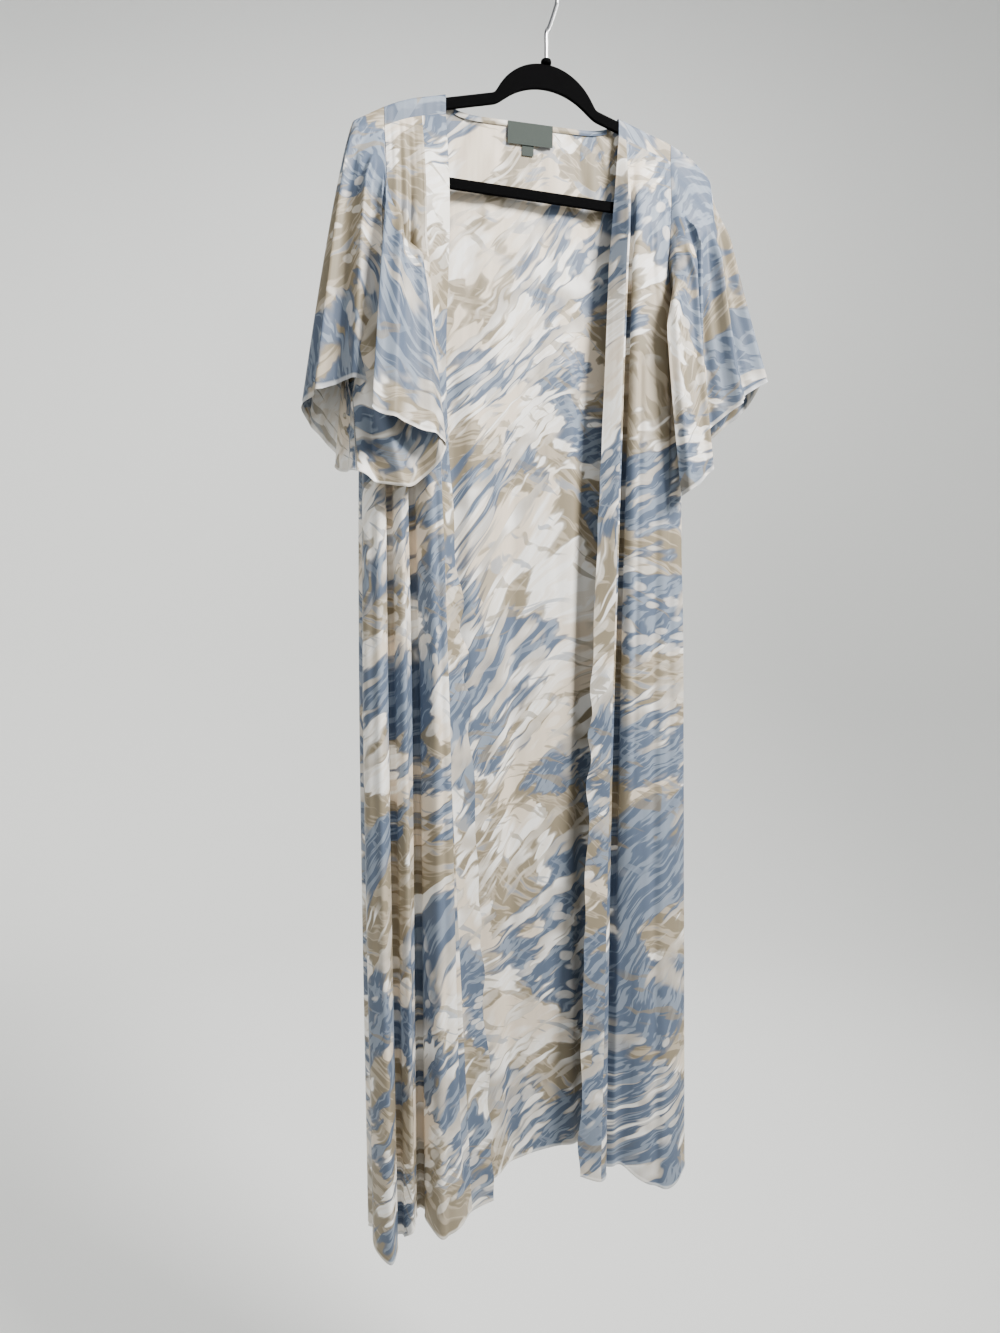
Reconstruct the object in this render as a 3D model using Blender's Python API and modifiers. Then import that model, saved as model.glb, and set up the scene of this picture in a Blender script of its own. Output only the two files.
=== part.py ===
"""Open-front duster coat with flutter sleeves, hung on a slim hanger.

Metres, +Z up. The front of the coat faces -Y and the hanger lies in the plane y = 0.
The origin is the inside of the hook's crown, where the hook rests on a rod or peg.
Left and right are the wearer's own, so the right side of the coat is at -X.
Heights in the tables are measured from a level HOOK_RISE below the hook's seat.
"""
import math

import bmesh
import bpy
import numpy as np

# Driving sizes of the hanger
HOOK_RISE = 0.020
HOOK_WIRE = 0.0044
HOOK_RADIUS = 0.0205
HOOK_TURN = math.radians(30)
HOOK_BEND_SHARE = 0.32
HOOK_BEND_RISE = 0.011
HOOK_SWEEP = (-28.0, 196.0)
STEM_LENGTH = 0.030
COLLAR_TOP_Z = -0.075
COLLAR_RADIUS = 0.0062
COLLAR_TAPER = 0.85
CROWN_TOP_Z = -0.081
CROWN_DEPTH = 0.0285
ARCH_OUTER_RADIUS = 0.069
ARCH_INNER_RADIUS = 0.082
ARM_CENTRE_Z = -0.1055
ARM_SLOPE = 0.27
ARM_DEPTH = 0.013
ARM_REACH = 0.199
ARM_DROOP = 3.75
ARM_DROOP_START = 0.155
TIP_RADIUS = 0.012
TIP_TOP_ANGLE = 68
TIP_DRAFT_ANGLE = -20
BAR_Z = -0.232
BAR_DEPTH = 0.0125
BAR_REACH = 0.181
BAR_CORNER = 0.012
INNER_CORNER = 0.004
INNER_TOP_ANGLE = 60
ARCH_BLEND = 0.006
HANGER_THICKNESS = 0.0050

# Driving sizes of the coat
CLOTH = 0.0012
SEAM_GAP = 0.0003
COAT_CENTRE_X = -0.015
NECK_HALF = 0.109
SHOULDER_HALF = 0.180
SHOULDER_WRAP_RADIUS = 0.0037
SHOULDER_SEAM_DROP = 0.018
NECK_DIP = 0.0115
NECK_SET_BACK = 0.0085
NECK_CORNER_POWER = 8
SHOULDER_SEAM_GAP = 0.0008
CHEST_Z = -0.300
UNDERARM_Z = -0.440
MID_Z = -0.850
BAND_TOP_WIDTH = {-1: 0.028, 1: 0.010}
BINDING_WIDTH = 0.006
LABEL_SIZE = (0.057, 0.025)
LABEL_CENTRE_X = -0.017
TAB_SIZE = (0.0145, 0.0145)
TAB_CENTRE_X = -0.0195
LABEL_THICKNESS = 0.001
LABEL_DROP = 0.0005
TAB_TUCK = 0.003
SLEEVE_CAP_SHARE = 0.375
SLEEVE_FLARE = {-1: 0.80, 1: 1.2}
SHOULDER_REACH = 0.07
SHOULDER_LAG = 2.4

# Seam between a front and its band, as shares of the way from fold line to fold line
SEAM_SHARE = 0.024
SEAM_STRIP = 0.07

# Mesh fineness
STEPS_PER_FOLD = 3
ROWS_TO_CHEST = 4
ROWS_TO_UNDERARM = 5
ROWS_TO_HEM = 9
WRAP_ROWS = 6
SLEEVE_STEPS_PER_ROW = 3
SLEEVE_RINGS = 8
BACK_STEPS_PER_FOLD = 2
BACK_SHOULDER_FOLDS = 2
BINDING_STEPS = 18
LABEL_CELLS = (4, 2)
ARM_STATIONS = 24
ARC_STEPS = 5
COLLAR_SIDES = 24
HOOK_SWEEP_POINTS = 11
HOOK_STEPS_PER_POINT = 3
HOOK_BEVEL_STEPS = 2

# Fold tables: where each fold line of a panel runs, from the side seam to the free edge.
# Columns: name, then x and y at chest, underarm, mid height and hem, then the hem's height.
FRONT_RIGHT_FOLDS = (
    ("side", -0.197, -0.024, -0.224, -0.0082, -0.227, -0.0082, -0.222, -0.0082, -1.460),
    ("side_roll", -0.194, -0.026, -0.2205, -0.020, -0.229, -0.026, -0.224, -0.030, -1.472),
    ("ridge_a", -0.189, -0.029, -0.2105, -0.033, -0.214, -0.042, -0.209, -0.052, -1.480),
    ("crease", -0.183, -0.027, -0.200, -0.030, -0.198, -0.029, -0.193, -0.030, -1.468),
    ("ridge_b", -0.177, -0.030, -0.187, -0.037, -0.184, -0.040, -0.181, -0.044, -1.452),
    ("deep_fold", -0.172, -0.027, -0.174, -0.025, -0.168, -0.021, -0.166, -0.018, -1.450),
    ("ridge_c", -0.166, -0.031, -0.160, -0.038, -0.151, -0.044, -0.149, -0.052, -1.463),
    ("ridge_end", -0.158, -0.032, -0.147, -0.037, -0.1335, -0.042, -0.124, -0.048, -1.456),
    ("band_seam", -0.155, -0.032, -0.144, -0.033, -0.1305, -0.029, -0.106, -0.036, -1.448),
    ("band_edge", -0.127, -0.027, -0.128, -0.015, -0.104, -0.024, -0.079, -0.040, -1.438),
)
FRONT_LEFT_FOLDS = (
    ("side", 0.151, -0.026, 0.177, -0.0082, 0.178, -0.0082, 0.186, -0.0082, -1.432),
    ("side_roll", 0.149, -0.029, 0.1735, -0.020, 0.180, -0.026, 0.189, -0.028, -1.440),
    ("main_a", 0.144, -0.031, 0.1620, -0.033, 0.165, -0.041, 0.172, -0.050, -1.456),
    ("main_b", 0.133, -0.033, 0.145, -0.040, 0.143, -0.044, 0.148, -0.056, -1.463),
    ("main_c", 0.119, -0.033, 0.121, -0.038, 0.117, -0.042, 0.118, -0.044, -1.452),
    ("ridge_end", 0.105, -0.032, 0.103, -0.036, 0.098, -0.038, 0.098, -0.026, -1.437),
    ("valley", 0.099, -0.025, 0.095, -0.024, 0.087, -0.021, 0.082, -0.030, -1.440),
    ("band_seam", 0.094, -0.028, 0.089, -0.030, 0.080, -0.028, 0.062, -0.044, -1.442),
    ("band_edge", 0.080, -0.008, 0.072, -0.015, 0.054, -0.021, 0.036, -0.034, -1.434),
)
BACK_FOLDS = (
    ("side_right", -0.197, 0.008, -0.224, -0.0070, -0.227, -0.0070, -0.222, -0.0070, -1.460),
    ("roll_right", -0.192, 0.010, -0.2245, 0.004, -0.229, 0.004, -0.225, 0.006, -1.464),
    ("ridge_a", -0.180, 0.011, -0.210, 0.013, -0.212, 0.014, -0.208, 0.018, -1.464),
    ("trough_a", -0.145, 0.011, -0.155, 0.010, -0.158, 0.009, -0.158, 0.008, -1.458),
    ("ridge_b", -0.100, 0.012, -0.108, 0.014, -0.110, 0.016, -0.112, 0.020, -1.452),
    ("trough_b", -0.056, 0.011, -0.062, 0.011, -0.064, 0.010, -0.066, 0.010, -1.445),
    ("centre", -0.015, 0.012, -0.021, 0.013, -0.022, 0.014, -0.021, 0.018, -1.428),
    ("trough_c", 0.027, 0.011, 0.021, 0.010, 0.021, 0.010, 0.022, 0.008, -1.416),
    ("ridge_c", 0.068, 0.012, 0.064, 0.014, 0.064, 0.016, 0.068, 0.020, -1.424),
    ("trough_d", 0.106, 0.011, 0.109, 0.010, 0.110, 0.009, 0.114, 0.008, -1.428),
    ("ridge_d", 0.134, 0.011, 0.162, 0.013, 0.163, 0.014, 0.170, 0.018, -1.432),
    ("roll_left", 0.146, 0.010, 0.1775, 0.004, 0.180, 0.004, 0.189, 0.006, -1.434),
    ("side_left", 0.151, 0.008, 0.177, -0.0070, 0.178, -0.0070, 0.186, -0.0070, -1.432),
)

# Sleeve tables: one row for each fold line, round the armhole from the underarm up the
# front, over the shoulder and down the back. Columns: name, way round the armhole (0 is
# the underarm, 1 the shoulder, 2 the underarm again), then x, y, z of the cap and the hem.
SLEEVE_RIGHT_FOLDS = (
    ("underarm", 0.00, -0.2370, -0.016, -0.478, -0.2400, -0.058, -0.570),
    ("front_low", 0.18, -0.2310, -0.058, -0.428, -0.1830, -0.060, -0.585),
    ("inner_edge", 0.42, -0.1640, -0.050, -0.360, -0.1420, -0.062, -0.540),
    ("front_a", 0.58, -0.1820, -0.057, -0.325, -0.1820, -0.082, -0.524),
    ("ridge", 0.70, -0.2040, -0.053, -0.290, -0.2300, -0.090, -0.508),
    ("fold", 0.81, -0.2040, -0.036, -0.262, -0.2060, -0.064, -0.480),
    ("front_b", 0.90, -0.2240, -0.026, -0.240, -0.2520, -0.042, -0.472),
    ("shoulder_front", 0.97, -0.2290, -0.0060, -0.187, -0.2820, -0.024, -0.488),
    ("shoulder", 1.00, -0.2300, 0.000, -0.184, -0.2920, -0.012, -0.495),
    ("shoulder_back", 1.03, -0.2290, 0.0060, -0.187, -0.2880, 0.003, -0.503),
    ("back_a", 1.12, -0.2300, 0.014, -0.240, -0.2720, 0.014, -0.520),
    ("back_b", 1.36, -0.2240, 0.017, -0.320, -0.2480, 0.010, -0.548),
    ("back_low", 1.70, -0.2340, 0.009, -0.425, -0.2540, -0.020, -0.566),
)
SLEEVE_LEFT_FOLDS = (
    ("underarm", 0.00, 0.1930, -0.016, -0.478, 0.1950, -0.034, -0.556),
    ("front_low", 0.18, 0.1870, -0.058, -0.428, 0.1780, -0.058, -0.570),
    ("inner_edge", 0.42, 0.1340, -0.057, -0.385, 0.1530, -0.062, -0.584),
    ("front_a", 0.58, 0.1600, -0.056, -0.335, 0.1760, -0.072, -0.566),
    ("flap", 0.68, 0.1780, -0.050, -0.305, 0.1950, -0.060, -0.540),
    ("fold", 0.77, 0.1800, -0.036, -0.280, 0.1780, -0.050, -0.524),
    ("front_b", 0.85, 0.1960, -0.032, -0.262, 0.2100, -0.048, -0.492),
    ("front_c", 0.92, 0.2150, -0.022, -0.235, 0.2560, -0.042, -0.455),
    ("shoulder_front", 0.97, 0.2210, -0.0060, -0.187, 0.2900, -0.022, -0.432),
    ("shoulder", 1.00, 0.2210, 0.000, -0.184, 0.3070, -0.004, -0.419),
    ("shoulder_back", 1.03, 0.2210, 0.0060, -0.187, 0.3060, 0.012, -0.438),
    ("back_a", 1.13, 0.2260, 0.015, -0.240, 0.2960, 0.030, -0.462),
    ("back_b", 1.36, 0.2140, 0.020, -0.320, 0.2620, 0.036, -0.490),
    ("back_c", 1.62, 0.2000, 0.020, -0.395, 0.2260, 0.032, -0.520),
    ("back_low", 1.84, 0.1920, 0.010, -0.440, 0.2020, 0.010, -0.545),
)

# Materials: colour, roughness, metallic
FINISHES = {
    "printed_cloth": ((0.62, 0.62, 0.62, 1.0), 0.55, 0.0),
    "band_cloth": ((0.66, 0.66, 0.66, 1.0), 0.55, 0.0),
    "label_weave": ((0.36, 0.40, 0.38, 1.0), 0.7, 0.0),
    "black_flock": ((0.012, 0.012, 0.013, 1.0), 0.95, 0.0),
    "bright_wire": ((0.75, 0.75, 0.76, 1.0), 0.2, 1.0),
}


def clear_scene():
    for item in list(bpy.data.objects):
        bpy.data.objects.remove(item, do_unlink=True)


def finish(name):
    """The named material, made on first use."""
    material = bpy.data.materials.get(name)
    if material is None:
        material = bpy.data.materials.new(name)
        material.use_nodes = True
        colour, roughness, metallic = FINISHES[name]
        shader = material.node_tree.nodes["Principled BSDF"]
        shader.inputs["Base Color"].default_value = colour
        shader.inputs["Roughness"].default_value = roughness
        shader.inputs["Metallic"].default_value = metallic
    return material


def add_object(name, data, finish_name, parent, collection):
    """Put a mesh or curve in the coat's collection, under the level that the tables use."""
    thing = bpy.data.objects.new(name, data)
    thing.data.materials.append(finish(finish_name))
    thing.parent = parent
    collection.objects.link(thing)
    return thing


# Interpolation
def monotone_curve(knots, values, at):
    """Smooth curve through values that never overshoots them; values has one row per knot."""
    knots = np.asarray(knots, float)
    values = np.asarray(values, float)
    spans = np.diff(knots)[:, None]
    secants = np.diff(values, axis=0) / spans
    slopes = np.zeros_like(values)
    slopes[0] = secants[0]
    slopes[-1] = secants[-1]
    product = secants[:-1] * secants[1:]
    total = secants[:-1] + secants[1:]
    safe_total = np.where(np.abs(total) < 1e-12, 1.0, total)
    slopes[1:-1] = np.where(product > 0, 2 * product / safe_total, 0.0)
    index = int(np.clip(np.searchsorted(knots, at) - 1, 0, len(spans) - 1))
    span = spans[index]
    share = float(np.clip((at - knots[index]) / span[0], 0.0, 1.0))
    start_weight = (1 + 2 * share) * (1 - share) ** 2
    end_weight = share ** 2 * (3 - 2 * share)
    start_slope = share * (1 - share) ** 2 * span
    end_slope = share ** 2 * (share - 1) * span
    return (start_weight * values[index] + end_weight * values[index + 1]
            + start_slope * slopes[index] + end_slope * slopes[index + 1])


def rounded_curve(points, place, closed=False):
    """Rounded line through a row of points; place 2.5 is half-way from point 2 to point 3."""
    count = len(points)
    last_start = count - 1 if closed else count - 2
    start = int(min(max(math.floor(place), 0), last_start))
    share = place - start

    def corner(index):
        if closed:
            return points[index % count]
        return points[min(max(index, 0), count - 1)]

    before, first, second, after = (corner(start + offset) for offset in (-1, 0, 1, 2))
    first_slope = (second - before) / 2
    second_slope = (after - first) / 2
    return ((1 + 2 * share) * (1 - share) ** 2 * first + share ** 2 * (3 - 2 * share) * second
            + share * (1 - share) ** 2 * first_slope + share ** 2 * (share - 1) * second_slope)


def smooth_max(first, second, blend):
    """The higher of two heights, rounded where they cross."""
    share = min(max(0.5 + (first - second) / (2 * blend), 0.0), 1.0)
    return second + (first - second) * share + blend * share * (1 - share)


# Hanger outline
def arch_or_arm(x, crown, radius, arm_centre):
    """Height of a round arch that runs out into a sloping arm on each side."""
    droop = ARM_DROOP * max(abs(x) - ARM_DROOP_START, 0.0) ** 2
    arm = arm_centre - ARM_SLOPE * abs(x) - droop
    if abs(x) >= radius:
        return arm
    arch = crown - radius + math.sqrt(radius ** 2 - x ** 2)
    return smooth_max(arch, arm, ARCH_BLEND)


def arm_top(x):
    """Height of the hanger's upper edge."""
    return arch_or_arm(x, CROWN_TOP_Z, ARCH_OUTER_RADIUS, ARM_CENTRE_Z)


def arm_underside(x):
    """Height of the lower edge of the arch and arms."""
    return arch_or_arm(x, CROWN_TOP_Z - CROWN_DEPTH, ARCH_INNER_RADIUS, ARM_CENTRE_Z - ARM_DEPTH)


def arc(centre_x, centre_z, radius, start, end):
    """Points on an arc, angles in degrees."""
    angles = np.radians(np.linspace(start, end, ARC_STEPS + 1))
    return [(centre_x + radius * math.cos(a), centre_z + radius * math.sin(a)) for a in angles]


def hanger_outer_half():
    """Right half of the outer outline, from the crown round the tip to the bar's middle."""
    stations = np.linspace(0.0, ARM_REACH, ARM_STATIONS)
    points = [(x, arm_top(x)) for x in stations[:-1]]
    points += arc(ARM_REACH, arm_top(ARM_REACH) - TIP_RADIUS, TIP_RADIUS, TIP_TOP_ANGLE, TIP_DRAFT_ANGLE)
    bar_bottom = BAR_Z - BAR_DEPTH / 2
    points += arc(BAR_REACH, bar_bottom + BAR_CORNER, BAR_CORNER, TIP_DRAFT_ANGLE, -90)
    return points


def hanger_inner_half():
    """Right half of the gap between the arms and the trouser bar."""
    corner_x = ARM_REACH - TIP_RADIUS
    stations = np.linspace(0.0, corner_x - INNER_CORNER, ARM_STATIONS)
    points = [(x, arm_underside(x)) for x in stations]
    corner_z = arm_underside(corner_x) - INNER_CORNER
    points += arc(corner_x - INNER_CORNER, corner_z, INNER_CORNER, INNER_TOP_ANGLE, TIP_DRAFT_ANGLE)
    bar_top = BAR_Z + BAR_DEPTH / 2
    points += arc(BAR_REACH - BAR_CORNER, bar_top + INNER_CORNER, INNER_CORNER, TIP_DRAFT_ANGLE, -90)
    return points


def add_closed_outline(curve, half):
    """A closed polygon from its right half and the mirrored left half."""
    mirrored = [(-x, z) for x, z in reversed(half) if x > 0]
    points = half + mirrored
    spline = curve.splines.new("POLY")
    spline.points.add(len(points) - 1)
    for point, (x, z) in zip(spline.points, points):
        point.co = (x, z, 0.0, 1.0)
    spline.use_cyclic_u = True


def make_hanger_body(parent, collection):
    curve = bpy.data.curves.new("hanger_outline", "CURVE")
    curve.dimensions = "2D"
    curve.fill_mode = "BOTH"
    curve.extrude = HANGER_THICKNESS / 2
    add_closed_outline(curve, hanger_outer_half())
    add_closed_outline(curve, hanger_inner_half())
    body = add_object("hanger_body", curve, "black_flock", parent, collection)
    body.rotation_euler = (math.pi / 2, 0.0, 0.0)


def make_hanger_collar(parent, collection):
    bottom = CROWN_TOP_Z + SEAM_GAP
    height = COLLAR_TOP_Z - bottom
    mesh = bpy.data.meshes.new("hanger_collar")
    bm = bmesh.new()
    bmesh.ops.create_cone(bm, cap_ends=True, segments=COLLAR_SIDES, radius1=COLLAR_RADIUS,
                          radius2=COLLAR_RADIUS * COLLAR_TAPER, depth=height)
    bm.to_mesh(mesh)
    bm.free()
    collar = add_object("hanger_collar", mesh, "black_flock", parent, collection)
    collar.location = (0.0, 0.0, bottom + height / 2)


def hook_path():
    """Middle line of the wire: up the stem, out to one side, then round over the crown."""
    stem_bottom = COLLAR_TOP_Z + SEAM_GAP
    stem_top = stem_bottom + STEM_LENGTH
    crown_centre = HOOK_RISE - (HOOK_RADIUS - HOOK_WIRE / 2)
    points = [np.array((0.0, stem_bottom)), np.array((0.0, stem_bottom + STEM_LENGTH / 2))]
    points.append(np.array((0.0, stem_top)))
    points.append(np.array((HOOK_RADIUS * HOOK_BEND_SHARE, stem_top + HOOK_BEND_RISE)))
    for angle in np.radians(np.linspace(*HOOK_SWEEP, HOOK_SWEEP_POINTS)):
        outward = np.array((math.cos(angle), math.sin(angle)))
        points.append(np.array((0.0, crown_centre)) + HOOK_RADIUS * outward)
    places = np.linspace(0.0, len(points) - 1, HOOK_STEPS_PER_POINT * (len(points) - 1) + 1)
    return [rounded_curve(points, place) for place in places]


def make_hanger_hook(parent, collection):
    curve = bpy.data.curves.new("hanger_hook", "CURVE")
    curve.dimensions = "3D"
    curve.bevel_depth = HOOK_WIRE / 2
    curve.bevel_resolution = HOOK_BEVEL_STEPS
    curve.use_fill_caps = True
    path = hook_path()
    spline = curve.splines.new("POLY")
    spline.points.add(len(path) - 1)
    for point, (across, z) in zip(spline.points, path):
        point.co = (across, 0.0, z, 1.0)
    hook = add_object("hanger_hook", curve, "bright_wire", parent, collection)
    hook.rotation_euler = (0.0, 0.0, HOOK_TURN)


# Body panels
def fold_lines(table, height):
    """x and y of every fold line of a panel at one height, chest to hem."""
    rows = np.array([row[1:9] for row in table])
    knots = (-CHEST_Z, -UNDERARM_Z, -MID_Z, -mean_hem(table))
    levels = np.stack([rows[:, column:column + 2].ravel() for column in (0, 2, 4, 6)])
    return monotone_curve(knots, levels, -height).reshape(-1, 2)


def mean_hem(table):
    return float(np.mean([row[9] for row in table]))


def hem_height(table, place):
    heights = [np.array((row[9],)) for row in table]
    return float(rounded_curve(heights, place)[0])


def body_levels():
    """Rows of a panel: level 0 is its upper edge, 1 the chest, 2 the underarm, 3 the hem."""
    upper = np.linspace(0.0, 1.0, ROWS_TO_CHEST + 1)[:-1]
    chest = np.linspace(1.0, 2.0, ROWS_TO_UNDERARM + 1)[:-1]
    skirt = np.linspace(2.0, 3.0, ROWS_TO_HEM + 1)
    return np.concatenate((upper, chest, skirt))


def level_at(height, top):
    """The level of a height above the underarm, on a panel whose upper edge is at top."""
    if height > CHEST_Z:
        return (top - height) / (top - CHEST_Z)
    return 1 + (CHEST_Z - height) / (CHEST_Z - UNDERARM_Z)


def panel_point(table, place, level, top):
    """A point of a panel: place runs across its fold lines and level down it.

    top is the point of the panel's upper edge above this place.
    """
    if level < 1:
        across = rounded_curve(list(fold_lines(table, CHEST_Z)), place)
        x = top[0] + (across[0] - top[0]) * level
        y = top[1] + (across[1] - top[1]) * math.sin(level * math.pi / 2)
        return np.array((x, y, top[2] + (CHEST_Z - top[2]) * level))
    if level < 2:
        table_z = CHEST_Z + (UNDERARM_Z - CHEST_Z) * (level - 1)
        z = table_z
    else:
        table_z = UNDERARM_Z + (mean_hem(table) - UNDERARM_Z) * (level - 2)
        z = UNDERARM_Z + (hem_height(table, place) - UNDERARM_Z) * (level - 2)
    across = rounded_curve(list(fold_lines(table, table_z)), place)
    return np.array((across[0], across[1], z))


def front_point(table, side, place, level):
    """A point of a front; its upper edge is the shoulder seam, from armhole to neck."""
    seam_place = len(table) - 2
    seam_reach = NECK_HALF + BAND_TOP_WIDTH[side]
    if place <= seam_place:
        reach = SHOULDER_HALF + (seam_reach - SHOULDER_HALF) * place / seam_place
    else:
        reach = seam_reach - BAND_TOP_WIDTH[side] * (place - seam_place)
    x = COAT_CENTRE_X + side * reach
    z = arm_top(x) - SHOULDER_SEAM_DROP - SHOULDER_SEAM_GAP / 2
    return panel_point(table, place, level, np.array((x, -SHOULDER_WRAP_RADIUS, z)))


def neckline_height(x):
    """Height of the back neckline, dipping quickly from the neck points."""
    share = (x - COAT_CENTRE_X) / NECK_HALF
    right = arm_top(COAT_CENTRE_X - NECK_HALF)
    left = arm_top(COAT_CENTRE_X + NECK_HALF)
    straight = right + (left - right) * (share + 1) / 2
    return straight - NECK_DIP * (1 - share ** NECK_CORNER_POWER)


def in_neck(x):
    return abs(x - COAT_CENTRE_X) < NECK_HALF - 1e-6


def back_top_x(place):
    """Across the back's upper edge; the neck points fall on whole steps of the mesh."""
    last = len(BACK_FOLDS) - 1
    middle = last / 2
    outward = place - middle
    neck_reach = middle - BACK_SHOULDER_FOLDS
    if abs(outward) <= neck_reach:
        return COAT_CENTRE_X + NECK_HALF * outward / neck_reach
    beyond = (abs(outward) - neck_reach) / BACK_SHOULDER_FOLDS
    reach = NECK_HALF + (SHOULDER_HALF - NECK_HALF) * beyond
    return COAT_CENTRE_X + math.copysign(reach, outward)


def back_top_point(place):
    x = back_top_x(place)
    if in_neck(x):
        share = abs(x - COAT_CENTRE_X) / NECK_HALF
        y = SHOULDER_WRAP_RADIUS + (NECK_SET_BACK - SHOULDER_WRAP_RADIUS) * (1 - share ** NECK_CORNER_POWER)
        return np.array((x, y, neckline_height(x)))
    return np.array((x, SHOULDER_WRAP_RADIUS, arm_top(x)))


def back_point(place, level):
    """A point of the back panel below its upper edge."""
    return panel_point(BACK_FOLDS, place, level, back_top_point(place))


def shoulder_wrap_point(place, share):
    """A point of the back where it passes over the hanger to the shoulder seam."""
    x = back_top_x(place)
    turn = math.pi * SHOULDER_WRAP_RADIUS
    down = SHOULDER_SEAM_DROP - SHOULDER_SEAM_GAP / 2
    length = share * (turn + down)
    if length < turn:
        angle = length / SHOULDER_WRAP_RADIUS
        return np.array((x, SHOULDER_WRAP_RADIUS * math.cos(angle),
                         arm_top(x) + SHOULDER_WRAP_RADIUS * math.sin(angle)))
    return np.array((x, -SHOULDER_WRAP_RADIUS, arm_top(x) - (length - turn)))


def shell(name, columns, rows, point_at, finish_name, parent, collection, keep=None, thickness=CLOTH):
    """A cloth wall: a grid moved to its surface and given thickness on both sides.

    point_at takes the column and row of a grid corner. keep, where given, takes the column
    and row of a grid cell and says whether the cloth covers it.
    """
    mesh = bpy.data.meshes.new(name)
    bm = bmesh.new()
    bmesh.ops.create_grid(bm, x_segments=columns, y_segments=rows, size=0.5)
    cells = {}
    for vert in bm.verts:
        cells[vert] = (round((vert.co.x + 0.5) * columns), round((vert.co.y + 0.5) * rows))
    if keep is not None:
        dropped = []
        for face in bm.faces:
            column = min(cells[vert][0] for vert in face.verts)
            row = min(cells[vert][1] for vert in face.verts)
            if not keep(column, row):
                dropped.append(face)
        bmesh.ops.delete(bm, geom=dropped, context="FACES")
    for vert in bm.verts:
        vert.co = point_at(*cells[vert])
    bm.to_mesh(mesh)
    bm.free()
    mesh.shade_smooth()
    wall = add_object(name, mesh, finish_name, parent, collection)
    solidify = wall.modifiers.new("thickness", "SOLIDIFY")
    solidify.thickness = thickness
    solidify.offset = 0.0
    return wall


def make_back(parent, collection):
    columns = (len(BACK_FOLDS) - 1) * BACK_STEPS_PER_FOLD
    levels = body_levels()
    body_rows = len(levels) - 1

    def point_at(column, row):
        place = column / BACK_STEPS_PER_FOLD
        if row <= body_rows:
            return back_point(place, levels[body_rows - row])
        return shoulder_wrap_point(place, (row - body_rows) / WRAP_ROWS)

    def keep(column, row):
        return row < body_rows or not in_neck(back_top_x((column + 0.5) / BACK_STEPS_PER_FOLD))

    shell("back", columns, body_rows + WRAP_ROWS, point_at, "printed_cloth", parent, collection, keep)


def make_front(table, side, names, parent, collection):
    """One front panel and the band along its open edge."""
    levels = body_levels()
    rows = len(levels) - 1
    seam_place = len(table) - 2
    panel_places = [column / STEPS_PER_FOLD for column in range(seam_place * STEPS_PER_FOLD)]
    panel_places += [seam_place - SEAM_STRIP, seam_place]
    band_places = [seam_place + SEAM_SHARE, seam_place + SEAM_SHARE + SEAM_STRIP]
    band_places += [seam_place + column / STEPS_PER_FOLD for column in range(1, STEPS_PER_FOLD + 1)]

    def panel_at(column, row):
        return front_point(table, side, panel_places[column], levels[row])

    def band_at(column, row):
        return front_point(table, side, band_places[column], levels[row])

    panel_name, band_name = names
    shell(panel_name, len(panel_places) - 1, rows, panel_at, "printed_cloth", parent, collection)
    shell(band_name, len(band_places) - 1, rows, band_at, "band_cloth", parent, collection)


# Neck pieces
def neck_surface(x, down):
    """A point on the back's inner side, down from the neckline."""
    last = len(BACK_FOLDS) - 1
    outward = (x - COAT_CENTRE_X) / NECK_HALF * (last / 2 - BACK_SHOULDER_FOLDS)
    place = last / 2 + outward
    point = back_point(place, down / (back_top_point(place)[2] - CHEST_Z))
    return np.array((x, point[1], point[2]))


def make_neck_binding(parent, collection):
    reach = NECK_HALF - 2 * BINDING_WIDTH
    lift = CLOTH + SEAM_GAP

    def point_at(column, row):
        x = COAT_CENTRE_X - reach + 2 * reach * column / BINDING_STEPS
        point = neck_surface(x, BINDING_WIDTH * row)
        return point - np.array((0.0, lift, 0.0))

    shell("neck_binding", BINDING_STEPS, 1, point_at, "band_cloth", parent, collection)


def make_label(name, centre_x, size, drop, lift, parent, collection):
    """A flat woven piece on the inside of the back, drop below the neckline."""
    width, height = size
    columns, rows = LABEL_CELLS

    def point_at(column, row):
        x = centre_x - width / 2 + width * column / columns
        point = neck_surface(x, drop + height * row / rows)
        return point - np.array((0.0, lift, 0.0))

    shell(name, columns, rows, point_at, "label_weave", parent, collection, thickness=LABEL_THICKNESS)


def make_neck_labels(parent, collection):
    tab_lift = (CLOTH + LABEL_THICKNESS) / 2 + SEAM_GAP
    label_lift = tab_lift + CLOTH + SEAM_GAP
    make_label("neck_label", LABEL_CENTRE_X, LABEL_SIZE, LABEL_DROP, label_lift, parent, collection)
    tab_drop = LABEL_DROP + LABEL_SIZE[1] - TAB_TUCK
    make_label("size_tab", TAB_CENTRE_X, TAB_SIZE, tab_drop, tab_lift, parent, collection)


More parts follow.
